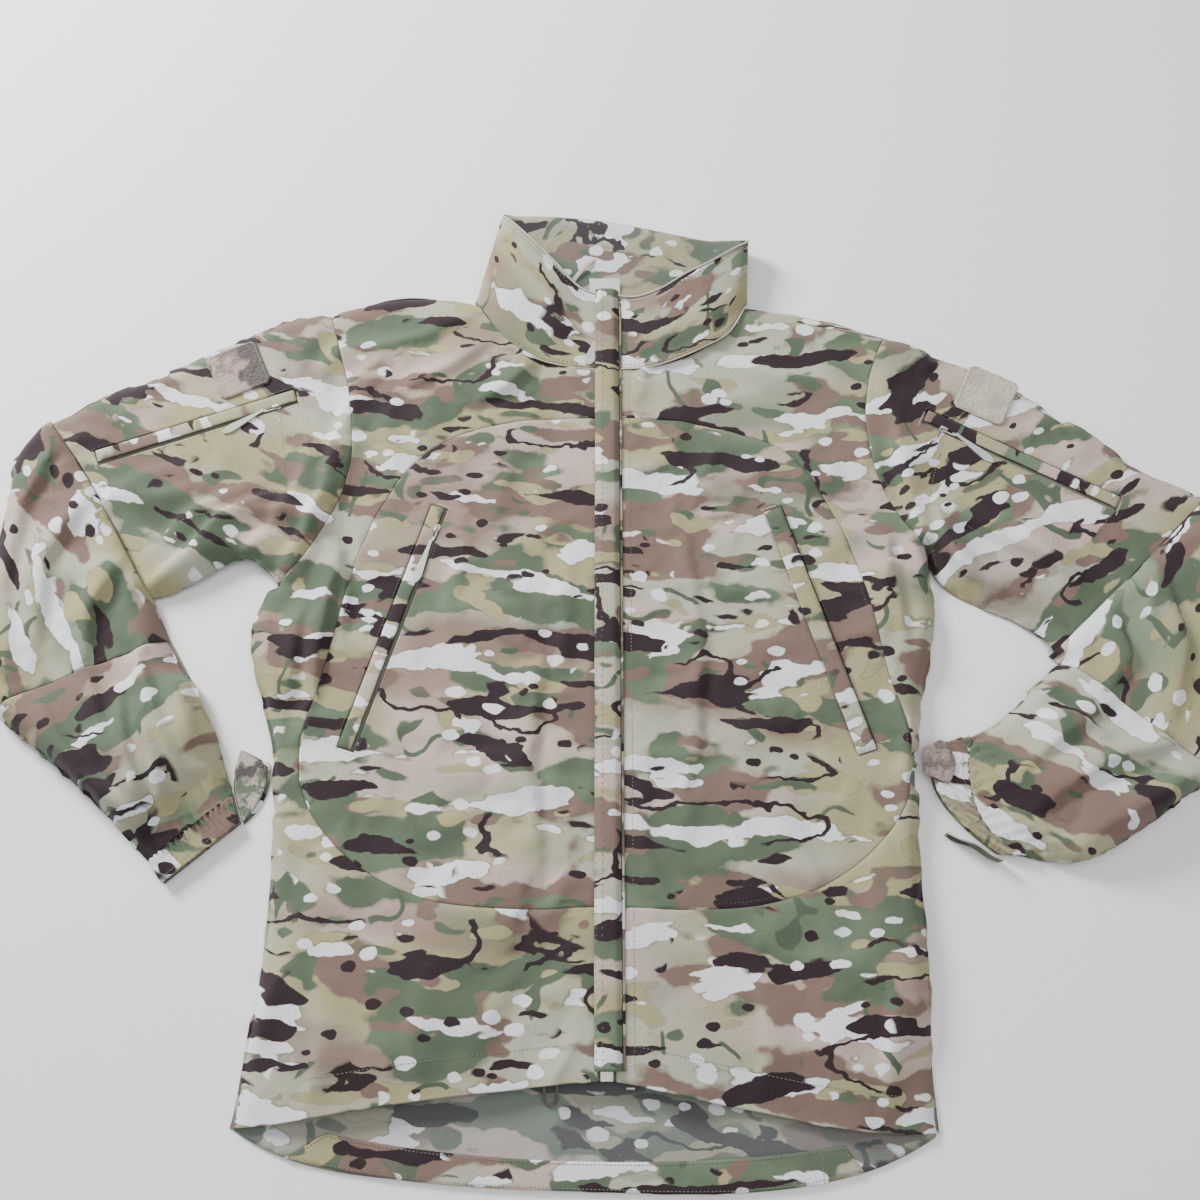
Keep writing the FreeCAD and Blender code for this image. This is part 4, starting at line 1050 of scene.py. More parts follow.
class JACKET_OT_front(bpy.types.Operator):
    """Sews the front panels and upper sleeves with their topstitching"""
    bl_idname = "jacket.front"
    bl_label = "Front and upper sleeves"

    def execute(self, context):
        cloth = cloth_of(context.scene)
        seams = seam_tree(BODY_PANELS)
        surface = Stage.surface = surface_of(Stage.front, seams)
        for name in BODY_PANELS:
            sew_panel(name, surface, cloth)
        work, dark, pale = Seamwork(), Seamwork(), Seamwork()
        for name in BODY_PANELS:
            if name.endswith("inset"):
                for run in row_beside(top_loops(name)[0], 4.2 * MM, seams):
                    work.row(run, surface)
            if name.endswith("upper_sleeve"):
                for run in row_beside(top_loops(name)[0], 4.2 * MM, seams):
                    work.row(run, surface)
            for hole in top_loops(name)[1:]:
                if np.ptp(hole[:, 1]) < 0.3:
                    ring = inset_row(even_steps(hole, 3.0 * MM), -1.9 * MM)
                    dark.row(np.vstack([ring, ring[:1]]), surface, wide=0.7 * MM, lift=0.0, high=0.36 * MM)
        for side in SIDES:
            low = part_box(f"{side}_front_surround")[0].y
            line = even_steps(top_loops(f"{side}_front_surround")[0], 3.3 * MM)
            line = inset_row(line, 29 * MM)
            hem = line[(line[:, 1] < low + 75 * MM) & (np.abs(line[:, 0]) > 0.02) & (np.abs(line[:, 0]) < 0.245)]
            hem = hem[np.argsort(hem[:, 0])]
            hem = hem[np.concatenate([[True], np.diff(hem[:, 0]) > 1.5 * MM])]
            work.row(hem, surface)
            for lift in (8, 26):
                pale.bar((SIDES[side] * 19 * MM, low + lift * MM + 26 * MM), 0.0, 7 * MM, surface)
            outline = top_loops(f"{side}_arm_pocket_bag")[0]
            line = even_steps(outline, 3.2 * MM)
            keep = np.zeros(len(line), bool)
            for loop in (top_loops(f"{side}_upper_sleeve")[0],):
                keep |= inside(line, loop)
            for patch in (f"{side}_arm_patch", f"{side}_arm_pocket_zip"):
                keep &= ~inside(line, inset_row(even_steps(top_loops(patch)[0], 3 * MM), -5 * MM))
            run = []
            for i in range(len(line)):
                if keep[i]:
                    run.append(line[i])
                elif run:
                    work.row(run, surface)
                    run = []
            work.row(run, surface)
            for kind in ("hand", "arm"):
                zip_frame = POCKETS[side, kind]
                for end in (-1, 1):
                    spot = zip_frame.world(zip_frame.across, end * (zip_frame.length / 2 + 3.5 * MM))
                    pale.bar(spot, zip_frame.turn, 15 * MM, surface, wide=2.8 * MM)
        work.make("topstitching_front", "thread")
        dark.make("pocket_window_stitching", "dark_thread")
        pale.make("bar_tacks_front", "pale_thread")
        return {"FINISHED"}


class JACKET_OT_lower_sleeves(bpy.types.Operator):
    """Sews the folded elbows and forearms"""
    bl_idname = "jacket.lower_sleeves"
    bl_label = "Elbows and forearms"

    def execute(self, context):
        cloth = cloth_of(context.scene)
        for side in SIDES:
            names = ARM_PANELS[side]
            seams = seam_tree(names)
            surface = surface_of(Stage.arms[side], seams)
            for name in names:
                sew_panel(name, surface, cloth)
            work = Seamwork()
            for run in row_beside(top_loops(names[0])[0], 4.2 * MM, seams):
                work.row(run, surface)
            work.make(f"topstitching_{side}_elbow", "thread")
        return {"FINISHED"}


class Pocket:
    """The line of a pocket zip: its centre, turn, length, chain offset, and level."""

    def __init__(self, side, centre, turn, length, level):
        self.side = side
        self.centre = np.array(centre) * MM
        self.turn = math.radians(turn)
        self.length = length * MM
        self.across = -SIDES[side] * 4.2 * MM
        self.level = level * MM

    def world(self, across, along):
        cos, sin = math.cos(self.turn), math.sin(self.turn)
        return self.centre + np.array([across * cos - along * sin, across * sin + along * cos])


POCKETS = {("right", "hand"): Pocket("right", (-191, -28), -17.7, 237, 13.6),
           ("left", "hand"): Pocket("left", (192, -30), 17.7, 237, 13.6),
           ("right", "arm"): Pocket("right", (-389, 169), -70.6, 192, 11.6),
           ("left", "arm"): Pocket("left", (391, 135), 62.3, 192, 11.6)}


def lofted(sections, closed_across=True, cap=True):
    """Points and faces of a shape through sections, lists of points of equal number."""
    count = len(sections[0])
    points = [tuple(p) for section in sections for p in section]
    faces = []
    wide = count if closed_across else count - 1
    for i in range(len(sections) - 1):
        for j in range(wide):
            a, b = i * count + j, i * count + (j + 1) % count
            faces.append((a, b, b + count, a + count))
    if closed_across and cap:
        faces.append(tuple(range(count))[::-1])
        last = (len(sections) - 1) * count
        faces.append(tuple(last + j for j in range(count)))
    return points, faces


def outward(piece):
    only(piece)
    bpy.ops.object.mode_set(mode="EDIT")
    bpy.ops.mesh.select_all(action="SELECT")
    bpy.ops.mesh.remove_doubles(threshold=1e-6)
    bpy.ops.mesh.normals_make_consistent(inside=False)
    bpy.ops.object.mode_set(mode="OBJECT")


class JACKET_OT_pockets(bpy.types.Operator):
    """Makes the welts, tapes, coils and bags of the four zip pockets"""
    bl_idname = "jacket.pockets"
    bl_label = "Zip pockets"

    def execute(self, context):
        for (side, kind), pocket in POCKETS.items():
            sign = -SIDES[side]
            name = f"{side}_{kind}_pocket"
            raised = 2.4 * MM if (side, kind) == ("left", "hand") else 0.0
            past = 6.0 * MM if raised else 0.6 * MM
            start, end = -sign * 7.7 * MM, pocket.across + sign * past
            base = pocket.level + 1.6 * MM
            top = pocket.level + 3.4 * MM + raised
            half = pocket.length / 2 + 0.7 * MM
            sections, flat = [], []
            for i in range(61):
                along = -half + 2 * half * i / 60
                taper = smooth(np.array([min(along + half, half - along) / (7 * MM)]))[0]
                wave = noise.noise(Vector((along * 40, 0.3 * sign, 5.0)))
                high = base + (top - base) * (0.35 + 0.65 * taper) + wave * 0.25 * MM
                edge = end + wave * 0.5 * MM * sign
                profile = [(start, pocket.level - 0.2 * MM), (start, base + 0.2 * MM),
                           (start + sign * 1.6 * MM, high - 0.5 * MM),
                           (start + sign * 4 * MM, high), ((start + edge) / 2 + sign * 2 * MM, high),
                           (edge - sign * 1.4 * MM, high), (edge - sign * 0.3 * MM, high - 0.35 * MM),
                           (edge, high - 0.8 * MM), (edge - sign * 0.4 * MM, high - 1.1 * MM),
                           (start + sign * 5 * MM, min(high - 1.2 * MM, base + raised)),
                           (start + sign * 1.2 * MM, pocket.level - 0.2 * MM)]
                sections.append([(*pocket.world(u, along), z) for u, z in profile])
                flat += [(u + 0.1 * (1 + sign) + (0.5 if kind == "arm" else 0), along) for u, _ in profile]
            points, faces = lofted(sections)
            welt = soft_mesh(f"{name}_welt_fold", points, faces, flat)
            outward(welt)
            finish_with(welt, "outside")
            wear(welt, instead_of=[f"{name}_welt"])
            self.make_zip(name, pocket)
            box_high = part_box(f"{name}_bag")[1]
            loop = top_loops(f"{name}_bag")[0]
            points, faces = cut_flat([loop], 9 * MM, rows=())
            lift = wavy(points, 0.03, 2.0) * 0.3 * MM
            placed = np.column_stack([points, box_high.z - 0.5 * MM + lift])
            bag = soft_mesh(f"{name}_bag_cloth", placed, faces, points)
            finish_with(bag, "bag")
            give_thickness(bag, 0.6 * MM, 0)
            declare_sheet(placed, faces, points)
            wear(bag, instead_of=[f"{name}_bag"])
        return {"FINISHED"}

    def make_zip(self, name, pocket):
        half = pocket.length / 2 + 3 * MM
        points, faces = [], []
        for way in (-1, 1):
            sections = []
            for i in range(41):
                along = -half + 2 * half * i / 40
                inner, outer = pocket.across + way * 0.5 * MM, pocket.across + way * 9.5 * MM
                outer = max(-10.2 * MM, min(10.2 * MM, outer))
                ridge = 0.25 * MM
                sections.append([(*pocket.world(u, along), pocket.level + z) for u, z in
                                 ((inner, -0.2 * MM), (inner + way * 0.6 * MM, ridge),
                                  (inner + way * 2.2 * MM, 0.1 * MM), (outer, 0.0), (outer, -0.5 * MM),
                                   (inner, -0.6 * MM))])
            part, part_faces = lofted(sections)
            faces += [tuple(len(points) + i for i in f) for f in part_faces]
            points += part
        tape = soft_mesh(f"{name}_zip_tape", points, faces)
        outward(tape)
        finish_with(tape, "tape")
        wear(tape)
        points, faces = [], []
        pitch = 2.0 * MM
        for i in range(int(pocket.length / pitch)):
            for way in (-1, 1):
                along = -pocket.length / 2 + (i + 0.25 + (0.5 if way > 0 else 0)) * pitch
                start = len(points)
                for u, z in ((-0.35, 0.0), (-0.1, 0.85), (1.3, 0.95), (2.0, 0.45), (2.0, 0.05)):
                    for v in (-0.42 * MM, 0.42 * MM):
                        points.append((*pocket.world(pocket.across + way * u * MM, along + v),
                                       pocket.level + z * MM))
                faces += [tuple(start + k for k in (0, 2, 4, 6, 8)), tuple(start + k for k in (9, 7, 5, 3, 1))]
                faces += [tuple(start + k for k in (a, a + 1, (a + 3) % 10, (a + 2) % 10)) for a in (0, 2, 4, 6, 8)]
        coil = soft_mesh(f"{name}_coil", points, faces)
        outward(coil)
        finish_with(coil, "coil")
        wear(coil, instead_of=[f"{name}_zip"])


def tucked(loop, covers, step=3 * MM):
    """An outline moved in where a rolled edge covers it."""
    loop = even_steps(loop, step)
    near = distance_to(loop, covers) < 3 * MM
    inward = inset_row(loop, 1.9 * MM)
    loop[near] = inward[near]
    return loop


class JACKET_OT_back(bpy.types.Operator):
    """Lays the back panel, its hem facing and the undersides of the sleeves"""
    bl_idname = "jacket.back"
    bl_label = "Back and undersides"

    def execute(self, context):
        cloth = cloth_of(context.scene)
        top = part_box("back_panel")[1].z

        def back_surface(points):
            lift = np.maximum(0, wavy(points, 0.05, 8.0)) * 0.8 * MM
            tail = smooth((-0.40 - points[:, 1]) / 0.03)
            return np.column_stack([points, top + lift * tail + 0.6 * MM * tail])

        covers = tree_of(closed_edge(BODY_PANELS))
        points, faces = cut_flat([tucked(top_loops("back_panel")[0], covers)], 6 * MM, rows=())
        placed = back_surface(points)
        back = soft_mesh("back_panel_cloth", placed, faces, turned_flat(points, 0.1, (6.2, 0.4)))
        finish_with(back, "inside", "outside")
        give_thickness(back, cloth.thickness)
        declare_sheet(placed, faces, points)
        wear(back, instead_of=["back_panel"])

        loop = top_loops("back_hem_facing")[0]
        points, faces = cut_flat([loop], 4 * MM, rows=(1.2 * MM,))
        placed = back_surface(points)
        edge = tree_of(even_steps(loop, 1.5 * MM))
        far = distance_to(points, edge)
        placed[:, 2] += 0.3 * MM + 1.1 * MM * rolled(far, 1.6 * MM) + np.abs(wavy(points, 0.02, 5.0)) * 0.8 * MM
        facing = soft_mesh("back_hem_facing_cloth", placed, faces, turned_flat(points, 0.0, (7.1, 0.9)))
        finish_with(facing, "outside", "outside")
        give_thickness(facing, 0.7 * MM)
        declare_sheet(placed, faces, points)
        wear(facing, instead_of=["back_hem_facing"])
        work = Seamwork()

        def facing_surface(points):
            place = back_surface(points)
            place[:, 2] += 1.7 * MM
            return place

        for distance in (2.0 * MM,):
            line = inset_row(even_steps(loop, 3.2 * MM), distance)
            work.row(np.vstack([line, line[:1]]), facing_surface)
        for x in (-0.205, 0.172):
            for k in range(7):
                spot = facing_surface(np.array([[x, -0.466 - 0.0033 * k]]))[0]
                if inside(np.array([spot[:2]]), loop)[0]:
                    work.stitch(spot, (0, 1, 0))
        work.make("topstitching_back_hem", "thread")

        for side in SIDES:
            name = f"{side}_sleeve_underside"
            covers = tree_of(closed_edge(BODY_PANELS + ARM_PANELS[side]))
            points, faces = cut_flat([tucked(top_loops(name)[0], covers)], 8 * MM, rows=())
            placed = np.column_stack([points, np.full(len(points), 1.4 * MM)])
            under = soft_mesh(f"{name}_cloth", placed, faces, turned_flat(points, 0.7 * SIDES[side], (8.0, 0.2)))
            finish_with(under, "inside", "outside")
            give_thickness(under, cloth.thickness)
            declare_sheet(placed, faces, points)
            wear(under, instead_of=[name])
        return {"FINISHED"}


def spline_through(points, count, closed=False):
    """Evenly spaced points on a smooth line through some points."""
    points = np.asarray(points, float)
    if closed:
        whole = np.vstack([points[-1:], points, points[:2]])
    else:
        whole = np.vstack([2 * points[0] - points[1], points, 2 * points[-1] - points[-2]])
    dense = []
    for a, b, c, d in zip(whole, whole[1:], whole[2:], whole[3:]):
        t = np.linspace(0, 1, 24, endpoint=False)[:, None]
        dense.append(0.5 * (2 * b + (c - a) * t + (2 * a - 5 * b + 4 * c - d) * t ** 2
                            + (3 * b - a - 3 * c + d) * t ** 3))
    dense = np.vstack(dense + [whole[-2][None]])
    along = np.concatenate([[0], np.cumsum(np.linalg.norm(np.diff(dense, axis=0), axis=1))])
    places = np.linspace(0, along[-1], count)
    return np.column_stack([np.interp(places, along, dense[:, k]) for k in range(3)])


COLLAR_SEAM = [(-7.5, 229, 14.6), (-20, 230, 14.8), (-38, 232, 15.8), (-64, 238, 18), (-90, 252, 19), (-112, 272, 18),
               (-126, 296, 14), (-129, 306, 8), (-122, 311, 3.5), (-80, 303, 2.8), (5, 298, 2.6), (90, 303, 2.8),
               (132, 311, 3.5), (140, 306, 8), (136, 296, 14), (120, 268, 18), (96, 252, 19), (70, 240, 18),
               (42, 231, 16.5), (7.5, 229, 15.0)]
COLLAR_TOP = [(-7.5, 312, 15), (-22, 317, 16.5), (-34, 326, 20), (-50, 343, 25), (-72, 365, 29), (-88, 382, 28.5),
              (-98, 393, 25), (-103.5, 400.5, 18.5), (-100, 405.5, 12.5), (-88, 406, 9), (-47, 406, 7.5),
              (14, 399, 6.5),
              (94, 380, 7), (118, 377.5, 8.5), (134, 376, 11.5), (142, 372.5, 17), (141, 367, 23), (128, 357, 28),
              (105, 342, 29), (80, 330, 26), (55, 316, 21), (30, 308, 18), (7.5, 311, 15.5)]


def tube(name, line, radius, finish, sides=7, body=BODY):
    """A round cord of cloth along a line, with closed ends."""
    line = np.asarray(line)
    sections = []
    for i, p in enumerate(line):
        along = Vector(line[min(i + 1, len(line) - 1)] - line[max(i - 1, 0)]).normalized()
        across = along.cross(Vector((0, 0, 1)))
        across = across.normalized() if across.length > 1e-4 else Vector((1, 0, 0))
        up = across.cross(along)
        sections.append([tuple(Vector(p) + radius * (across * math.cos(2 * math.pi * k / sides)
                                                     + up * math.sin(2 * math.pi * k / sides)))
                         for k in range(sides)])
    piece = soft_mesh(name, *lofted(sections))
    outward(piece)
    finish_with(piece, finish)
    return wear(piece, body)


class JACKET_OT_collar(bpy.types.Operator):
    """Sews the stand-up collar, its bindings, the label and the hanger loop"""
    bl_idname = "jacket.collar"
    bl_label = "Collar"

    def execute(self, context):
        count, rows = 261, 17
        low = spline_through(np.array(COLLAR_SEAM) * MM, count)
        high = spline_through(np.array(COLLAR_TOP) * MM, count)
        points, flat = [], []
        for r in range(rows):
            t = r / (rows - 1)
            for i in range(count):
                p = low[i] * (1 - t) + high[i] * t
                front = 1.0 if low[i][2] > 9 * MM else 0.0
                beside = smooth(np.array([(abs(p[0]) - 24 * MM) / (18 * MM)]))[0]
                front *= beside if p[1] < 0.335 else 1.0
                bulge = math.sin(math.pi * t) ** 0.8
                fold = noise.noise(Vector((p[0] / 0.022, p[1] / 0.06, 2.0)))
                crease = math.exp(-((t - 0.16) / 0.10) ** 2)
                p = p + np.array([0, 0, (1.4 * bulge + 1.6 * fold * bulge - 2.0 * crease * front) * MM * front
                                  + 0.4 * fold * bulge * MM * (1 - front)])
                points.append(p)
                flat.append((0.62 * i / (count - 1) + 9.3, 0.09 * t + 0.3))
        points = np.array(points)
        quads = []
        for r in range(rows - 1):
            for i in range(count - 1):
                a = r * count + i
                quads.append((a, a + 1, a + count + 1, a + count))
        triangles = np.array([t for q in quads for t in ((q[0], q[1], q[2]), (q[0], q[2], q[3]))])
        collar = soft_mesh("collar_cloth", points, quads, flat)
        # the cloth's outer face is the one away from the neck
        centre = collar.data.polygons[count // 60]
        if centre.normal.z < 0:
            collar.data.flip_normals()
        finish_with(collar, "outside", "neck")
        give_thickness(collar, 1.4 * MM)
        area = area_of(points, triangles)
        wear(collar, instead_of=["collar_right", "collar_left", "collar_back"])
        loop = top_loops("collar_lining")[0]
        flat_points, faces = cut_flat([loop], 5 * MM, rows=(2 * MM,))
        placed = np.column_stack([flat_points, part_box("collar_lining")[1].z + 0.0004
                                  + 0.4 * MM * wavy(flat_points, 0.03, 1.0)])
        lining = soft_mesh("collar_lining_cloth", placed, faces, turned_flat(flat_points, 0.2, (9.9, 0.6)))
        finish_with(lining, "neck", "neck")
        give_thickness(lining, 0.6 * MM)
        declare_sheet(placed, faces, flat_points)
        wear(lining, instead_of=["collar_lining"])
        lift = np.array([0, 0, 0.5 * MM])
        tube("collar_top_binding", high + lift, 1.0 * MM, "binding")
        front = count * 7 // 19
        for name, part in (("right", low[:front]), ("left", low[-front:])):
            tube(f"{name}_collar_seam_piping", part + 1.6 * lift, 0.7 * MM, "binding")
        tube("back_neck_seam_piping", low[front:-front] + 2.0 * lift, 0.8 * MM, "binding")
        work = Seamwork()
        grid = points.reshape(rows, count, 3)
        for r in (1, rows - 2):
            for a, b in zip(grid[r][::2], grid[r][2::2]):
                spot = (a + b) / 2
                if spot[2] > 9 * MM or r > 1:
                    work.stitch(Vector(spot) + Vector((0, 0, 0.35 * MM if spot[2] > 9 * MM else 0.5 * MM)),
                                Vector(b - a), 2.4 * MM, 0.9 * MM)
        work.make("topstitching_collar", "dark_thread")
        self.label()
        self.hanger()
        return {"FINISHED"}

    def label(self):
        low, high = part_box("neck_label")
        bpy.ops.object.select_all(action="DESELECT")
        bpy.ops.mesh.primitive_cube_add(size=1, location=(low + high) / 2,
                                        scale=(high - low) - Vector((0, 0, 0.1 * MM)))
        label = bpy.context.object
        label.name = "neck_label_satin"
        bpy.ops.object.transform_apply(location=True, rotation=True, scale=True)
        bpy.ops.object.mode_set(mode="EDIT")
        bpy.ops.mesh.select_all(action="SELECT")
        bpy.ops.mesh.subdivide(number_cuts=7)
        bpy.ops.object.mode_set(mode="OBJECT")
        for v in label.data.vertices:
            raised = (v.co.y - low.y) / (high.y - low.y)
            v.co.z += (0.9 * MM + 6 * MM * raised ** 1.5
                       + 0.5 * MM * noise.noise(Vector((v.co.x * 60, v.co.y * 60, 1.0))))
            v.co.y += 4 * MM * raised
        bevel = label.modifiers.new("Soft edges", "BEVEL")
        bevel.width, bevel.segments, bevel.limit_method = 0.15 * MM, 2, "ANGLE"
        apply_all(label)
        finish_with(label, "label")
        wear(label, instead_of=["neck_label"])

    def hanger(self):
        start, end = Vector((-33, 333, 0)) * MM, Vector((-9, 362, 0)) * MM
        along = (end - start).normalized()
        across = Vector((-along.y, along.x, 0))
        sections = []
        for i in range(33):
            t = i / 32
            z = 3.6 * MM + 5.0 * MM * math.sin(math.pi * t) ** 0.55
            p = start.lerp(end, t)
            half, thick = 2.2 * MM, 0.45 * MM
            sections.append([tuple(p + across * half * a + Vector((0, 0, z + thick * b))) for a, b in
                             ((-1, -0.6), (-1, 0.6), (-0.7, 1), (0.7, 1), (1, 0.6), (1, -0.6), (0.7, -1), (-0.7, -1))])
        loop = soft_mesh("hanger_tape", *lofted(sections))
        outward(loop)
        finish_with(loop, "binding")
        wear(loop, instead_of=["hanger_loop"])


class JACKET_OT_cuffs(bpy.types.Operator):
    """Gathers the elastic cuffs and adds their fuzzy loops and tabs"""
    bl_idname = "jacket.cuffs"
    bl_label = "Cuffs"

    def execute(self, context):
        for side in SIDES:
            self.band(side)
            self.fuzzy_loop(side)
        self.left_tab()
        self.right_tab()
        bm = joined_copy("cuff_elastics")
        mesh = bpy.data.meshes.new("cuff_elastic_ribbons")
        bm.to_mesh(mesh)
        bm.free()
        ribbons = bpy.data.objects.new("cuff_elastic_ribbons", mesh)
        bpy.context.scene.collection.objects.link(ribbons)
        outward(ribbons)
        only(ribbons)
        bpy.ops.object.mode_set(mode="EDIT")
        bpy.ops.mesh.select_all(action="SELECT")
        bpy.ops.mesh.subdivide(number_cuts=4)
        bpy.ops.object.mode_set(mode="OBJECT")
        for v in ribbons.data.vertices:
            v.co.z += 0.25 * MM * math.sin(v.co.x * 2200) * math.sin(v.co.y * 1500)
        finish_with(ribbons, "elastic")
        wear(ribbons, instead_of=["cuff_elastics"])
        return {"FINISHED"}

    def band(self, side):
        """The gathered band: a flattened tube with ridges from the wrist to the mouth."""
        name = f"{side}_cuff_band"
        loop = even_steps(top_loops(name)[0], 1.7 * MM)
        forearm = tree_of(even_steps(top_loops(f"{side}_forearm")[0], 1.2 * MM))
        points, faces = cut_flat([top_loops(name)[0]], 2.2 * MM, rows=(1.2 * MM,))
        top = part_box(name)[1].z
        sewn = distance_to(points, forearm)
        # the band's length runs from the sewn edge to the mouth; ridges follow it
        mouth_points = loop[distance_to(loop, forearm) > 0.6 * np.percentile(distance_to(loop, forearm), 98)]
        sewn_points = loop[distance_to(loop, forearm) < 3 * MM]
        way = mouth_points.mean(0) - sewn_points.mean(0)
        way /= np.hypot(*way)
        across = np.array([-way[1], way[0]])
        place = (points - points.mean(0)) @ across
        ends = np.minimum(place - place.min(), place.max() - place)
        ridges = np.sin(place / (5.2 * MM) * 2 * math.pi + 2.0 * wavy(points, 0.016, 3.0))
        deep = 0.7 + 0.3 * np.exp(-(sewn / (14 * MM)) ** 2)
        height = top - 0.9 * MM + np.sign(ridges) * np.abs(ridges) ** 0.7 * 1.9 * MM * deep
        height = 1.4 * MM + (height - 1.4 * MM) * rolled(ends, 8 * MM)
        placed = np.column_stack([points, height])
        band = soft_mesh(f"{name}_cloth", placed, faces, turned_flat(points, 0.3, (10.5, 0.5)))
        finish_with(band, "outside", "inside")
        give_thickness(band, 1.3 * MM)
        declare_sheet(placed, faces, points)
        wear(band, instead_of=[name])
        low_points, low_faces = cut_flat([top_loops(name)[0]], 5 * MM, rows=())
        low_placed = np.column_stack([low_points, np.full(len(low_points), 1.3 * MM)])
        under = soft_mesh(f"{name}_underside_cloth", low_placed, low_faces, turned_flat(low_points, 0.3, (10.9, 0.9)))
        finish_with(under, "inside", "outside")
        give_thickness(under, 1.1 * MM)
        declare_sheet(low_placed, low_faces, low_points)
        wear(under)
        work = Seamwork()

        def surface(spots):
            far = (spots - points.mean(0)) @ across
            wide = np.minimum(far - place.min(), place.max() - far)
            return np.column_stack([spots, 1.4 * MM + (top + 0.4 * MM - 1.4 * MM) * rolled(wide, 8 * MM)])

        for distance in (6 * MM, 20 * MM):
            row = sewn_points[np.argsort((sewn_points @ across))] + way * distance
            row = row[inside(row, loop)]
            work.row(row, surface)
        work.make(f"topstitching_{side}_cuff", "thread")

    def fuzzy_loop(self, side):
        name = f"{side}_cuff_loop"
        loop = top_loops(name)[0]
        low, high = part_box(name)
        pile = pile_sheet(f"{name}_pile", loop, low.z + 0.4 * MM, high.z,
                          "cuff_pile" if side == "right" else "left_cuff_pile")
        wear(pile, instead_of=[name])

    def left_tab(self):
        """The loose pull tab that stands on its edge beside the left cuff, where its CAD solid stands."""
        low, high = (Vector(corner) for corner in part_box("left_cuff_tab"))
        centre, turn = Vector(((low.x + high.x) / 2, (low.y + high.y) / 2, 0)), math.radians(153)
        along = Vector((math.cos(turn), math.sin(turn), 0))
        across = Vector((-along.y, along.x, 0))
        sections = []
        for i in range(26):
            t = i / 25
            half = 25 * MM
            bend = 1.1 * MM * math.sin(3.0 * math.pi * t)
            p = centre + along * (2 * t - 1) * half + across * bend
            trim = 1 - 0.25 * (abs(2 * t - 1)) ** 6
            low, high = 0.3 * MM, 0.3 * MM + 15.6 * MM * trim
            half_thick = 1.15 * MM
            sections.append([tuple(p + across * a * half_thick + Vector((0, 0, low + (high - low) * b))) for a, b in
                             ((-0.5, 0), (-1, 0.06), (-1, 0.5), (-1, 0.93), (-0.4, 1), (0.4, 1), (1, 0.93), (1, 0.5),
                              (1, 0.06), (0.5, 0))])
        points, faces = lofted(sections)
        flat = [(p[0] + p[2] + 11.0, p[1] + 0.7) for p in points]
        tab = soft_mesh("left_cuff_tab_cloth", points, faces, flat)
        outward(tab)
        finish_with(tab, "outside")
        wear(tab, "left_cuff_tab", instead_of=["left_cuff_tab"])
        line = [tuple(sum((Vector(s[k]) for k in (4, 5)), Vector()) / 2) for s in sections]
        tube("left_cuff_tab_edge", np.array(line) + np.array([0, 0, -0.35 * MM]), 0.8 * MM, "binding",
             body="left_cuff_tab")

    def right_tab(self):
        loop = top_loops("right_cuff_tab")[0]
        points, faces = cut_flat([loop], 3.5 * MM, rows=(1.0 * MM,))
        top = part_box("right_cuff_tab")[1].z
        edge = distance_to(points, tree_of(even_steps(loop, 1.2 * MM)))
        placed = np.column_stack([points, top - 0.6 * MM + 0.7 * MM * rolled(edge, 2.0 * MM)])
        tab = soft_mesh("right_cuff_tab_cloth", placed, faces, turned_flat(points, 0.4, (11.6, 0.2)))
        finish_with(tab, "outside")
        give_thickness(tab, 0.9 * MM, 0)
        declare_sheet(placed, faces, points)
        wear(tab, instead_of=["right_cuff_tab"])


def pile_sheet(name, loop, low, high, finish):
    """A patch of brushed loops with an uneven, fuzzy face."""
    points, faces = cut_flat([loop], 0.95 * MM, rows=(0.5 * MM,))
    edge = distance_to(points, tree_of(even_steps(loop, 0.6 * MM)))
    fuzz = np.array([noise.noise(Vector((p[0] / 0.0016, p[1] / 0.0016, 1.0))) for p in points])
    soft = wavy(points, 0.008, 2.0)
    random.seed(name)
    height = low + (high - low - 0.6 * MM) * rolled(edge, 1.3 * MM) + (0.8 * fuzz + 0.35 * soft) * MM
    height = height + np.array([random.uniform(0, 0.5) for _ in points]) * MM
    placed = np.column_stack([points, np.maximum(height, low)])
    piece = soft_mesh(name, placed, faces)
    give_thickness(piece, 0.5 * MM, 0)
    finish_with(piece, finish)
    return piece


class JACKET_OT_patches(bpy.types.Operator):
    """Adds the square loop patches on the upper sleeves"""
    bl_idname = "jacket.patches"
    bl_label = "Loop patches"

    def execute(self, context):
        for side in SIDES:
            name = f"{side}_arm_patch"
            loop = top_loops(name)[0]
            low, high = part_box(name)
            pile = pile_sheet(f"{name}_pile", loop, low.z + 0.2 * MM, high.z + 0.5 * MM, f"{side}_pile")
            wear(pile, instead_of=[name])
            work = Seamwork()
            line = inset_row(even_steps(loop, 2.6 * MM), 2.0 * MM)

            def surface(points):
                return np.column_stack([points, np.full(len(points), high.z + 0.55 * MM)])

            work.row(np.vstack([line, line[:1]]), surface)
            work.make(f"{name}_stitching", "pale_thread", "loop_pile")
        return {"FINISHED"}


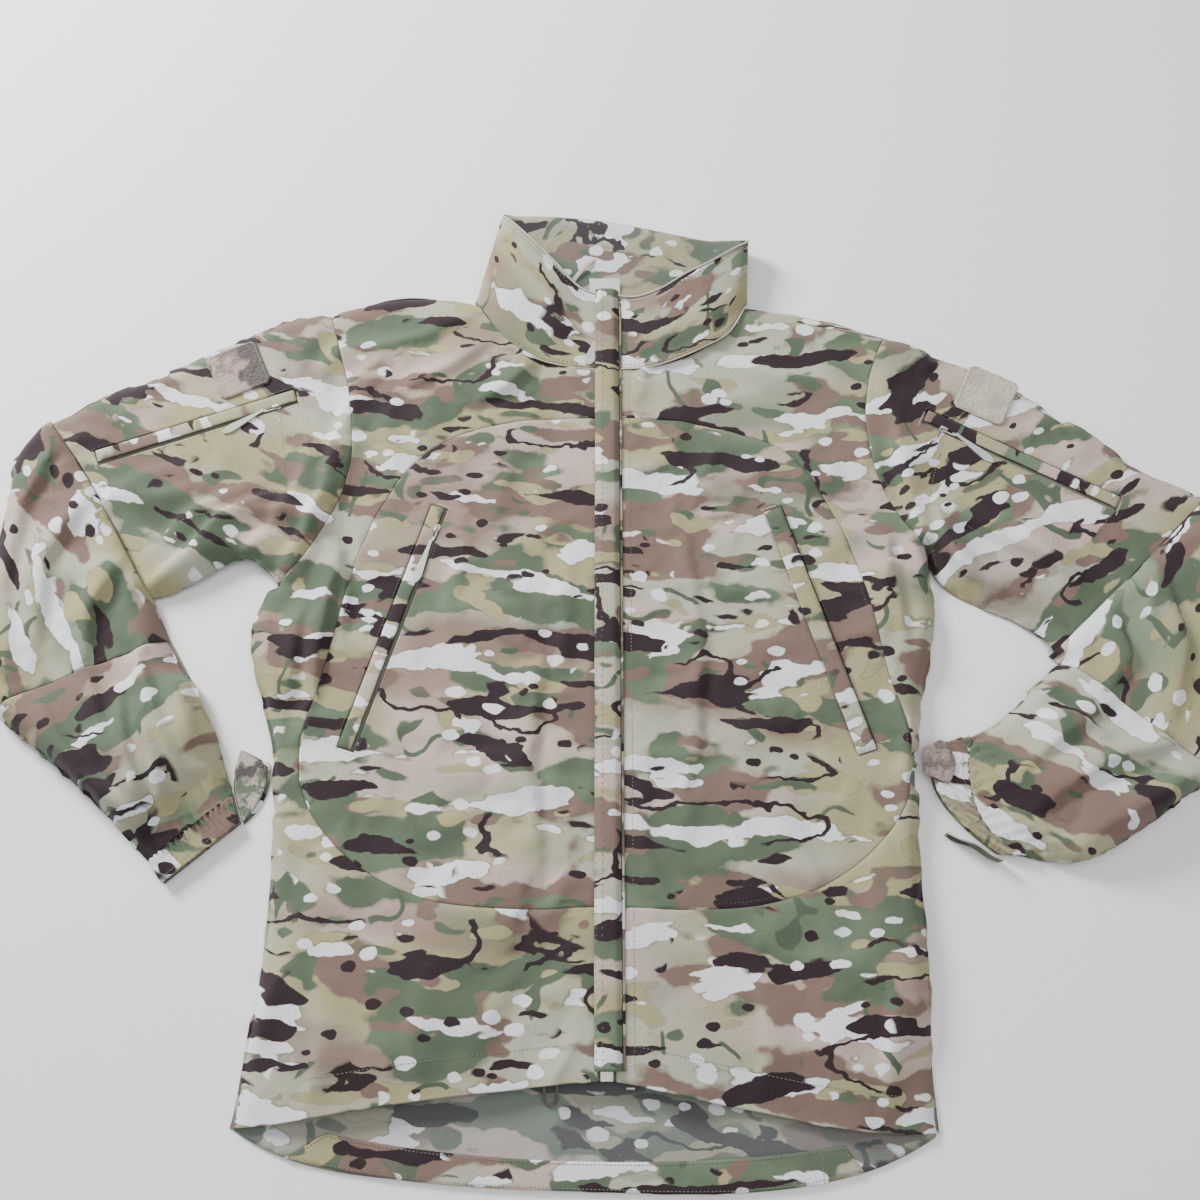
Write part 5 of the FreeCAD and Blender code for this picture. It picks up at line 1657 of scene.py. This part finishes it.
class JACKET_OT_storm_flap(bpy.types.Operator):
    """Folds the storm flap that covers the front zip"""
    bl_idname = "jacket.storm_flap"
    bl_label = "Storm flap"

    def execute(self, context):
        low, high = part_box("storm_flap")
        line = np.array([(12.9, 0, 16.5), (9, 0, 20.6), (6, 0, 21.7), (0, 0, 22.0), (-4.8, 0, 21.7), (-7.8, 0, 20.8),
                         (-10.2, 0, 19.2)]) * MM
        shape = spline_through(line, 15)
        points, flat = [], []
        rows = 241
        for i in range(rows):
            t = i / (rows - 1)
            y = low.y + (high.y - low.y) * t
            wave = noise.noise(Vector((0.5, y / 0.055, 2.0)))
            small = noise.noise(Vector((3.5, y / 0.02, 2.0)))
            for k, p in enumerate(shape):
                free = smooth(np.array([k / (len(shape) - 1)]))[0]
                points.append((p[0] + free * 0.5 * MM * wave, y, p[2] + free * (0.7 * wave + 0.25 * small) * MM))
                flat.append((k * 1.9 * MM + 12.3, y))
        count = len(shape)
        faces = [(r * count + k, (r + 1) * count + k, (r + 1) * count + k + 1, r * count + k + 1)
                 for r in range(rows - 1) for k in range(count - 1)]
        points = np.array(points)
        triangles = np.array([t for q in faces for t in ((q[0], q[1], q[2]), (q[0], q[2], q[3]))])
        flap = soft_mesh("storm_flap_cloth", points, faces, flat)
        if flap.data.polygons[5].normal.z < 0:
            flap.data.flip_normals()
        finish_with(flap, "outside", "inside")
        give_thickness(flap, 1.2 * MM)
        area = area_of(points, triangles)
        wear(flap, "storm_flap", instead_of=["storm_flap"])
        work = Seamwork()
        grid = points.reshape(rows, count, 3)
        for column, lift in ((count - 2, 0.3), (count - 5, 0.25)):
            for a, b in zip(grid[::2, column], grid[2::2, column]):
                middle_point = (a + b) / 2
                work.stitch(Vector(middle_point) + Vector((0, 0, lift * MM)), Vector(b - a), 2.5 * MM)
        work.make("topstitching_flap", "thread", body="storm_flap")
        self.seam()
        self.tapes()
        return {"FINISHED"}

    def seam(self):
        low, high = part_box("storm_flap_seam")
        sections, flat = [], []
        for i in range(181):
            y = low.y + (high.y - low.y) * i / 180
            wave = 0.2 * MM * noise.noise(Vector((1.0, y / 0.03, 6.0)))
            profile = [(low.x, low.z), (low.x + 0.2 * MM, high.z - 0.3 * MM + wave), (low.x + 0.9 * MM, high.z + wave),
                       (high.x - 0.6 * MM, high.z - 0.2 * MM + wave), (high.x, high.z - 0.9 * MM), (high.x, low.z)]
            sections.append([(x, y, z) for x, z in profile])
            flat += [(x + 12.6, y + z) for x, z in profile]
        seam = soft_mesh("storm_flap_seam_fold", *lofted(sections), flat)
        outward(seam)
        finish_with(seam, "outside")
        wear(seam, instead_of=["storm_flap_seam"])
        work = Seamwork()
        line = np.array([(22.5 * MM, y) for y in np.arange(low.y, high.y, 3.3 * MM)])
        line = line[line[:, 1] < 0.222]
        work.row(line, Stage.surface)
        work.make("topstitching_beside_flap", "thread")

    def tapes(self):
        for side in SIDES:
            name = f"{side}_zip_tape"
            low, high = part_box(name)
            inner, outer = (low.x, high.x) if side == "left" else (high.x, low.x)
            sign = SIDES[side]
            sections = []
            for i in range(121):
                y = low.y + (high.y - low.y) * i / 120
                sections.append([(x, y, z) for x, z in
                                 ((inner, high.z - 0.25 * MM), (inner + sign * 0.8 * MM, high.z + 0.1 * MM),
                                  (inner + sign * 2.4 * MM, high.z), (outer, high.z), (outer, low.z), (inner, low.z))])
            tape = soft_mesh(f"{name}_weave", *lofted(sections))
            outward(tape)
            finish_with(tape, "tape")
            wear(tape, instead_of=[name])


class JACKET_OT_hardware(bpy.types.Operator):
    """Gives the sliders, stops, chain and pullers their finishes"""
    bl_idname = "jacket.hardware"
    bl_label = "Zip hardware"

    def execute(self, context):
        for name, node in nodes.items():
            if name.endswith("_slider") or name in ("zip_retainer_box", "zip_insertion_pin", "zip_top_stops"):
                finish_with(node, "metal")
            elif name.endswith("puller"):
                finish_with(node, "light_puller" if "hand" in name else "puller")
            elif name == "zip_chain":
                finish_with(node, "coil")
        return {"FINISHED"}


CORD_ROUTE = [(-40.2, -400, 11.6), (-40.2, -411, 11.2), (-40.2, -420, 6.0), (-40.2, -427.5, 3.4), (-45.4, -430.5, 3.2),
              (-50.6, -427.5, 3.4), (-50.6, -420, 6.0), (-50.6, -411, 11.2), (-50.6, -400, 11.6)]


class JACKET_OT_hem_cord(bpy.types.Operator):
    """Loops the drawcord that shows below the front hem"""
    bl_idname = "jacket.hem_cord"
    bl_label = "Hem drawcord"

    def execute(self, context):
        curve = bpy.data.curves.new("hem_drawcord", "CURVE")
        curve.dimensions = "3D"
        spline = curve.splines.new("NURBS")
        spline.points.add(len(CORD_ROUTE) - 1)
        for point, place in zip(spline.points, CORD_ROUTE):
            point.co = (*(c * MM for c in place), 1)
        spline.order_u = 3
        spline.use_endpoint_u = True
        curve.bevel_depth = 1.15 * MM
        curve.bevel_resolution = 4
        curve.resolution_u = 8
        curve.use_fill_caps = True
        cord = bpy.data.objects.new("hem_drawcord", curve)
        bpy.context.scene.collection.objects.link(cord)
        finish_with(cord, "cord")
        wear(cord, instead_of=["hem_cord_loop"])
        return {"FINISHED"}


class JACKET_OT_stage(bpy.types.Operator):
    """Sets the floor, the soft lights and the camera"""
    bl_idname = "jacket.stage"
    bl_label = "Floor, lights and camera"

    def execute(self, context):
        make_finishes(context.scene.jacket_print)
        bpy.ops.object.select_all(action="DESELECT")
        bpy.ops.mesh.primitive_plane_add(size=8, location=(0, 0, -0.2 * MM))
        floor = bpy.context.object
        floor.name = "floor"
        pale = Finish("pale_floor", Specular_IOR_Level=0.1)
        grain = pale.noise(pale.solid(), 40.0, 2.0)
        floor.data.materials.append(pale.finish(pale.blend(grain, (0.86, 0.86, 0.86), (0.88, 0.88, 0.88)), 0.9))
        world = bpy.data.worlds.new("soft_room")
        context.scene.world = world
        world.use_nodes = True
        world.node_tree.nodes["Background"].inputs[0].default_value = (1, 1, 1, 1)
        world.node_tree.nodes["Background"].inputs[1].default_value = 0.40
        for name, place, size, power in (("key_light", (-1.7, 1.5, 1.15), 0.7, 125),
                                         ("fill_light", (1.5, -0.6, 2.1), 2.0, 14),
                                         ("top_light", (0.1, 0.2, 2.6), 2.4, 32)):
            light = bpy.data.lights.new(name, "AREA")
            light.size, light.energy = size, power
            lamp = bpy.data.objects.new(name, light)
            lamp.location = place
            lamp.rotation_euler = (Vector((0, 0, 0)) - Vector(place)).to_track_quat("-Z", "Y").to_euler()
            context.scene.collection.objects.link(lamp)
        camera = bpy.data.cameras.new("camera")
        camera.sensor_width, camera.lens = 36, 36
        eye = bpy.data.objects.new("camera", camera)
        eye.location = (-0.0055, -0.3408, 1.0490)
        eye.rotation_euler = (math.radians(18), 0, 0)
        context.scene.collection.objects.link(eye)
        context.scene.camera = eye
        return {"FINISHED"}


class JACKET_PT_panel(bpy.types.Panel):
    """Lists the jacket's sizes, colours and making steps"""
    bl_idname = "JACKET_PT_panel"
    bl_label = "Field jacket"
    bl_space_type = "VIEW_3D"
    bl_region_type = "UI"
    bl_category = "Jacket"

    def draw(self, context):
        for group in (context.scene.jacket_cloth, context.scene.jacket_print):
            box = self.layout.box()
            for name in group.__annotations__:
                box.prop(group, name)
        for step in STEPS:
            self.layout.operator(step.bl_idname)


STEPS = [JACKET_OT_stage, JACKET_OT_hem_cord, JACKET_OT_lay_cloth, JACKET_OT_back, JACKET_OT_front,
         JACKET_OT_lower_sleeves, JACKET_OT_pockets, JACKET_OT_collar, JACKET_OT_cuffs, JACKET_OT_patches,
         JACKET_OT_storm_flap, JACKET_OT_hardware]
CLASSES = [JacketCloth, JacketPrint, *STEPS, JACKET_PT_panel]


def register():
    for kind in CLASSES:
        bpy.utils.register_class(kind)
    bpy.types.Scene.jacket_cloth = PointerProperty(type=JacketCloth)
    bpy.types.Scene.jacket_print = PointerProperty(type=JacketPrint)


def unregister():
    del bpy.types.Scene.jacket_cloth, bpy.types.Scene.jacket_print
    for kind in reversed(CLASSES):
        bpy.utils.unregister_class(kind)


def main():
    register()
    for step in STEPS:
        area, name = step.bl_idname.split(".")
        getattr(getattr(bpy.ops, area), name)()


if __name__ == "__main__":
    main()
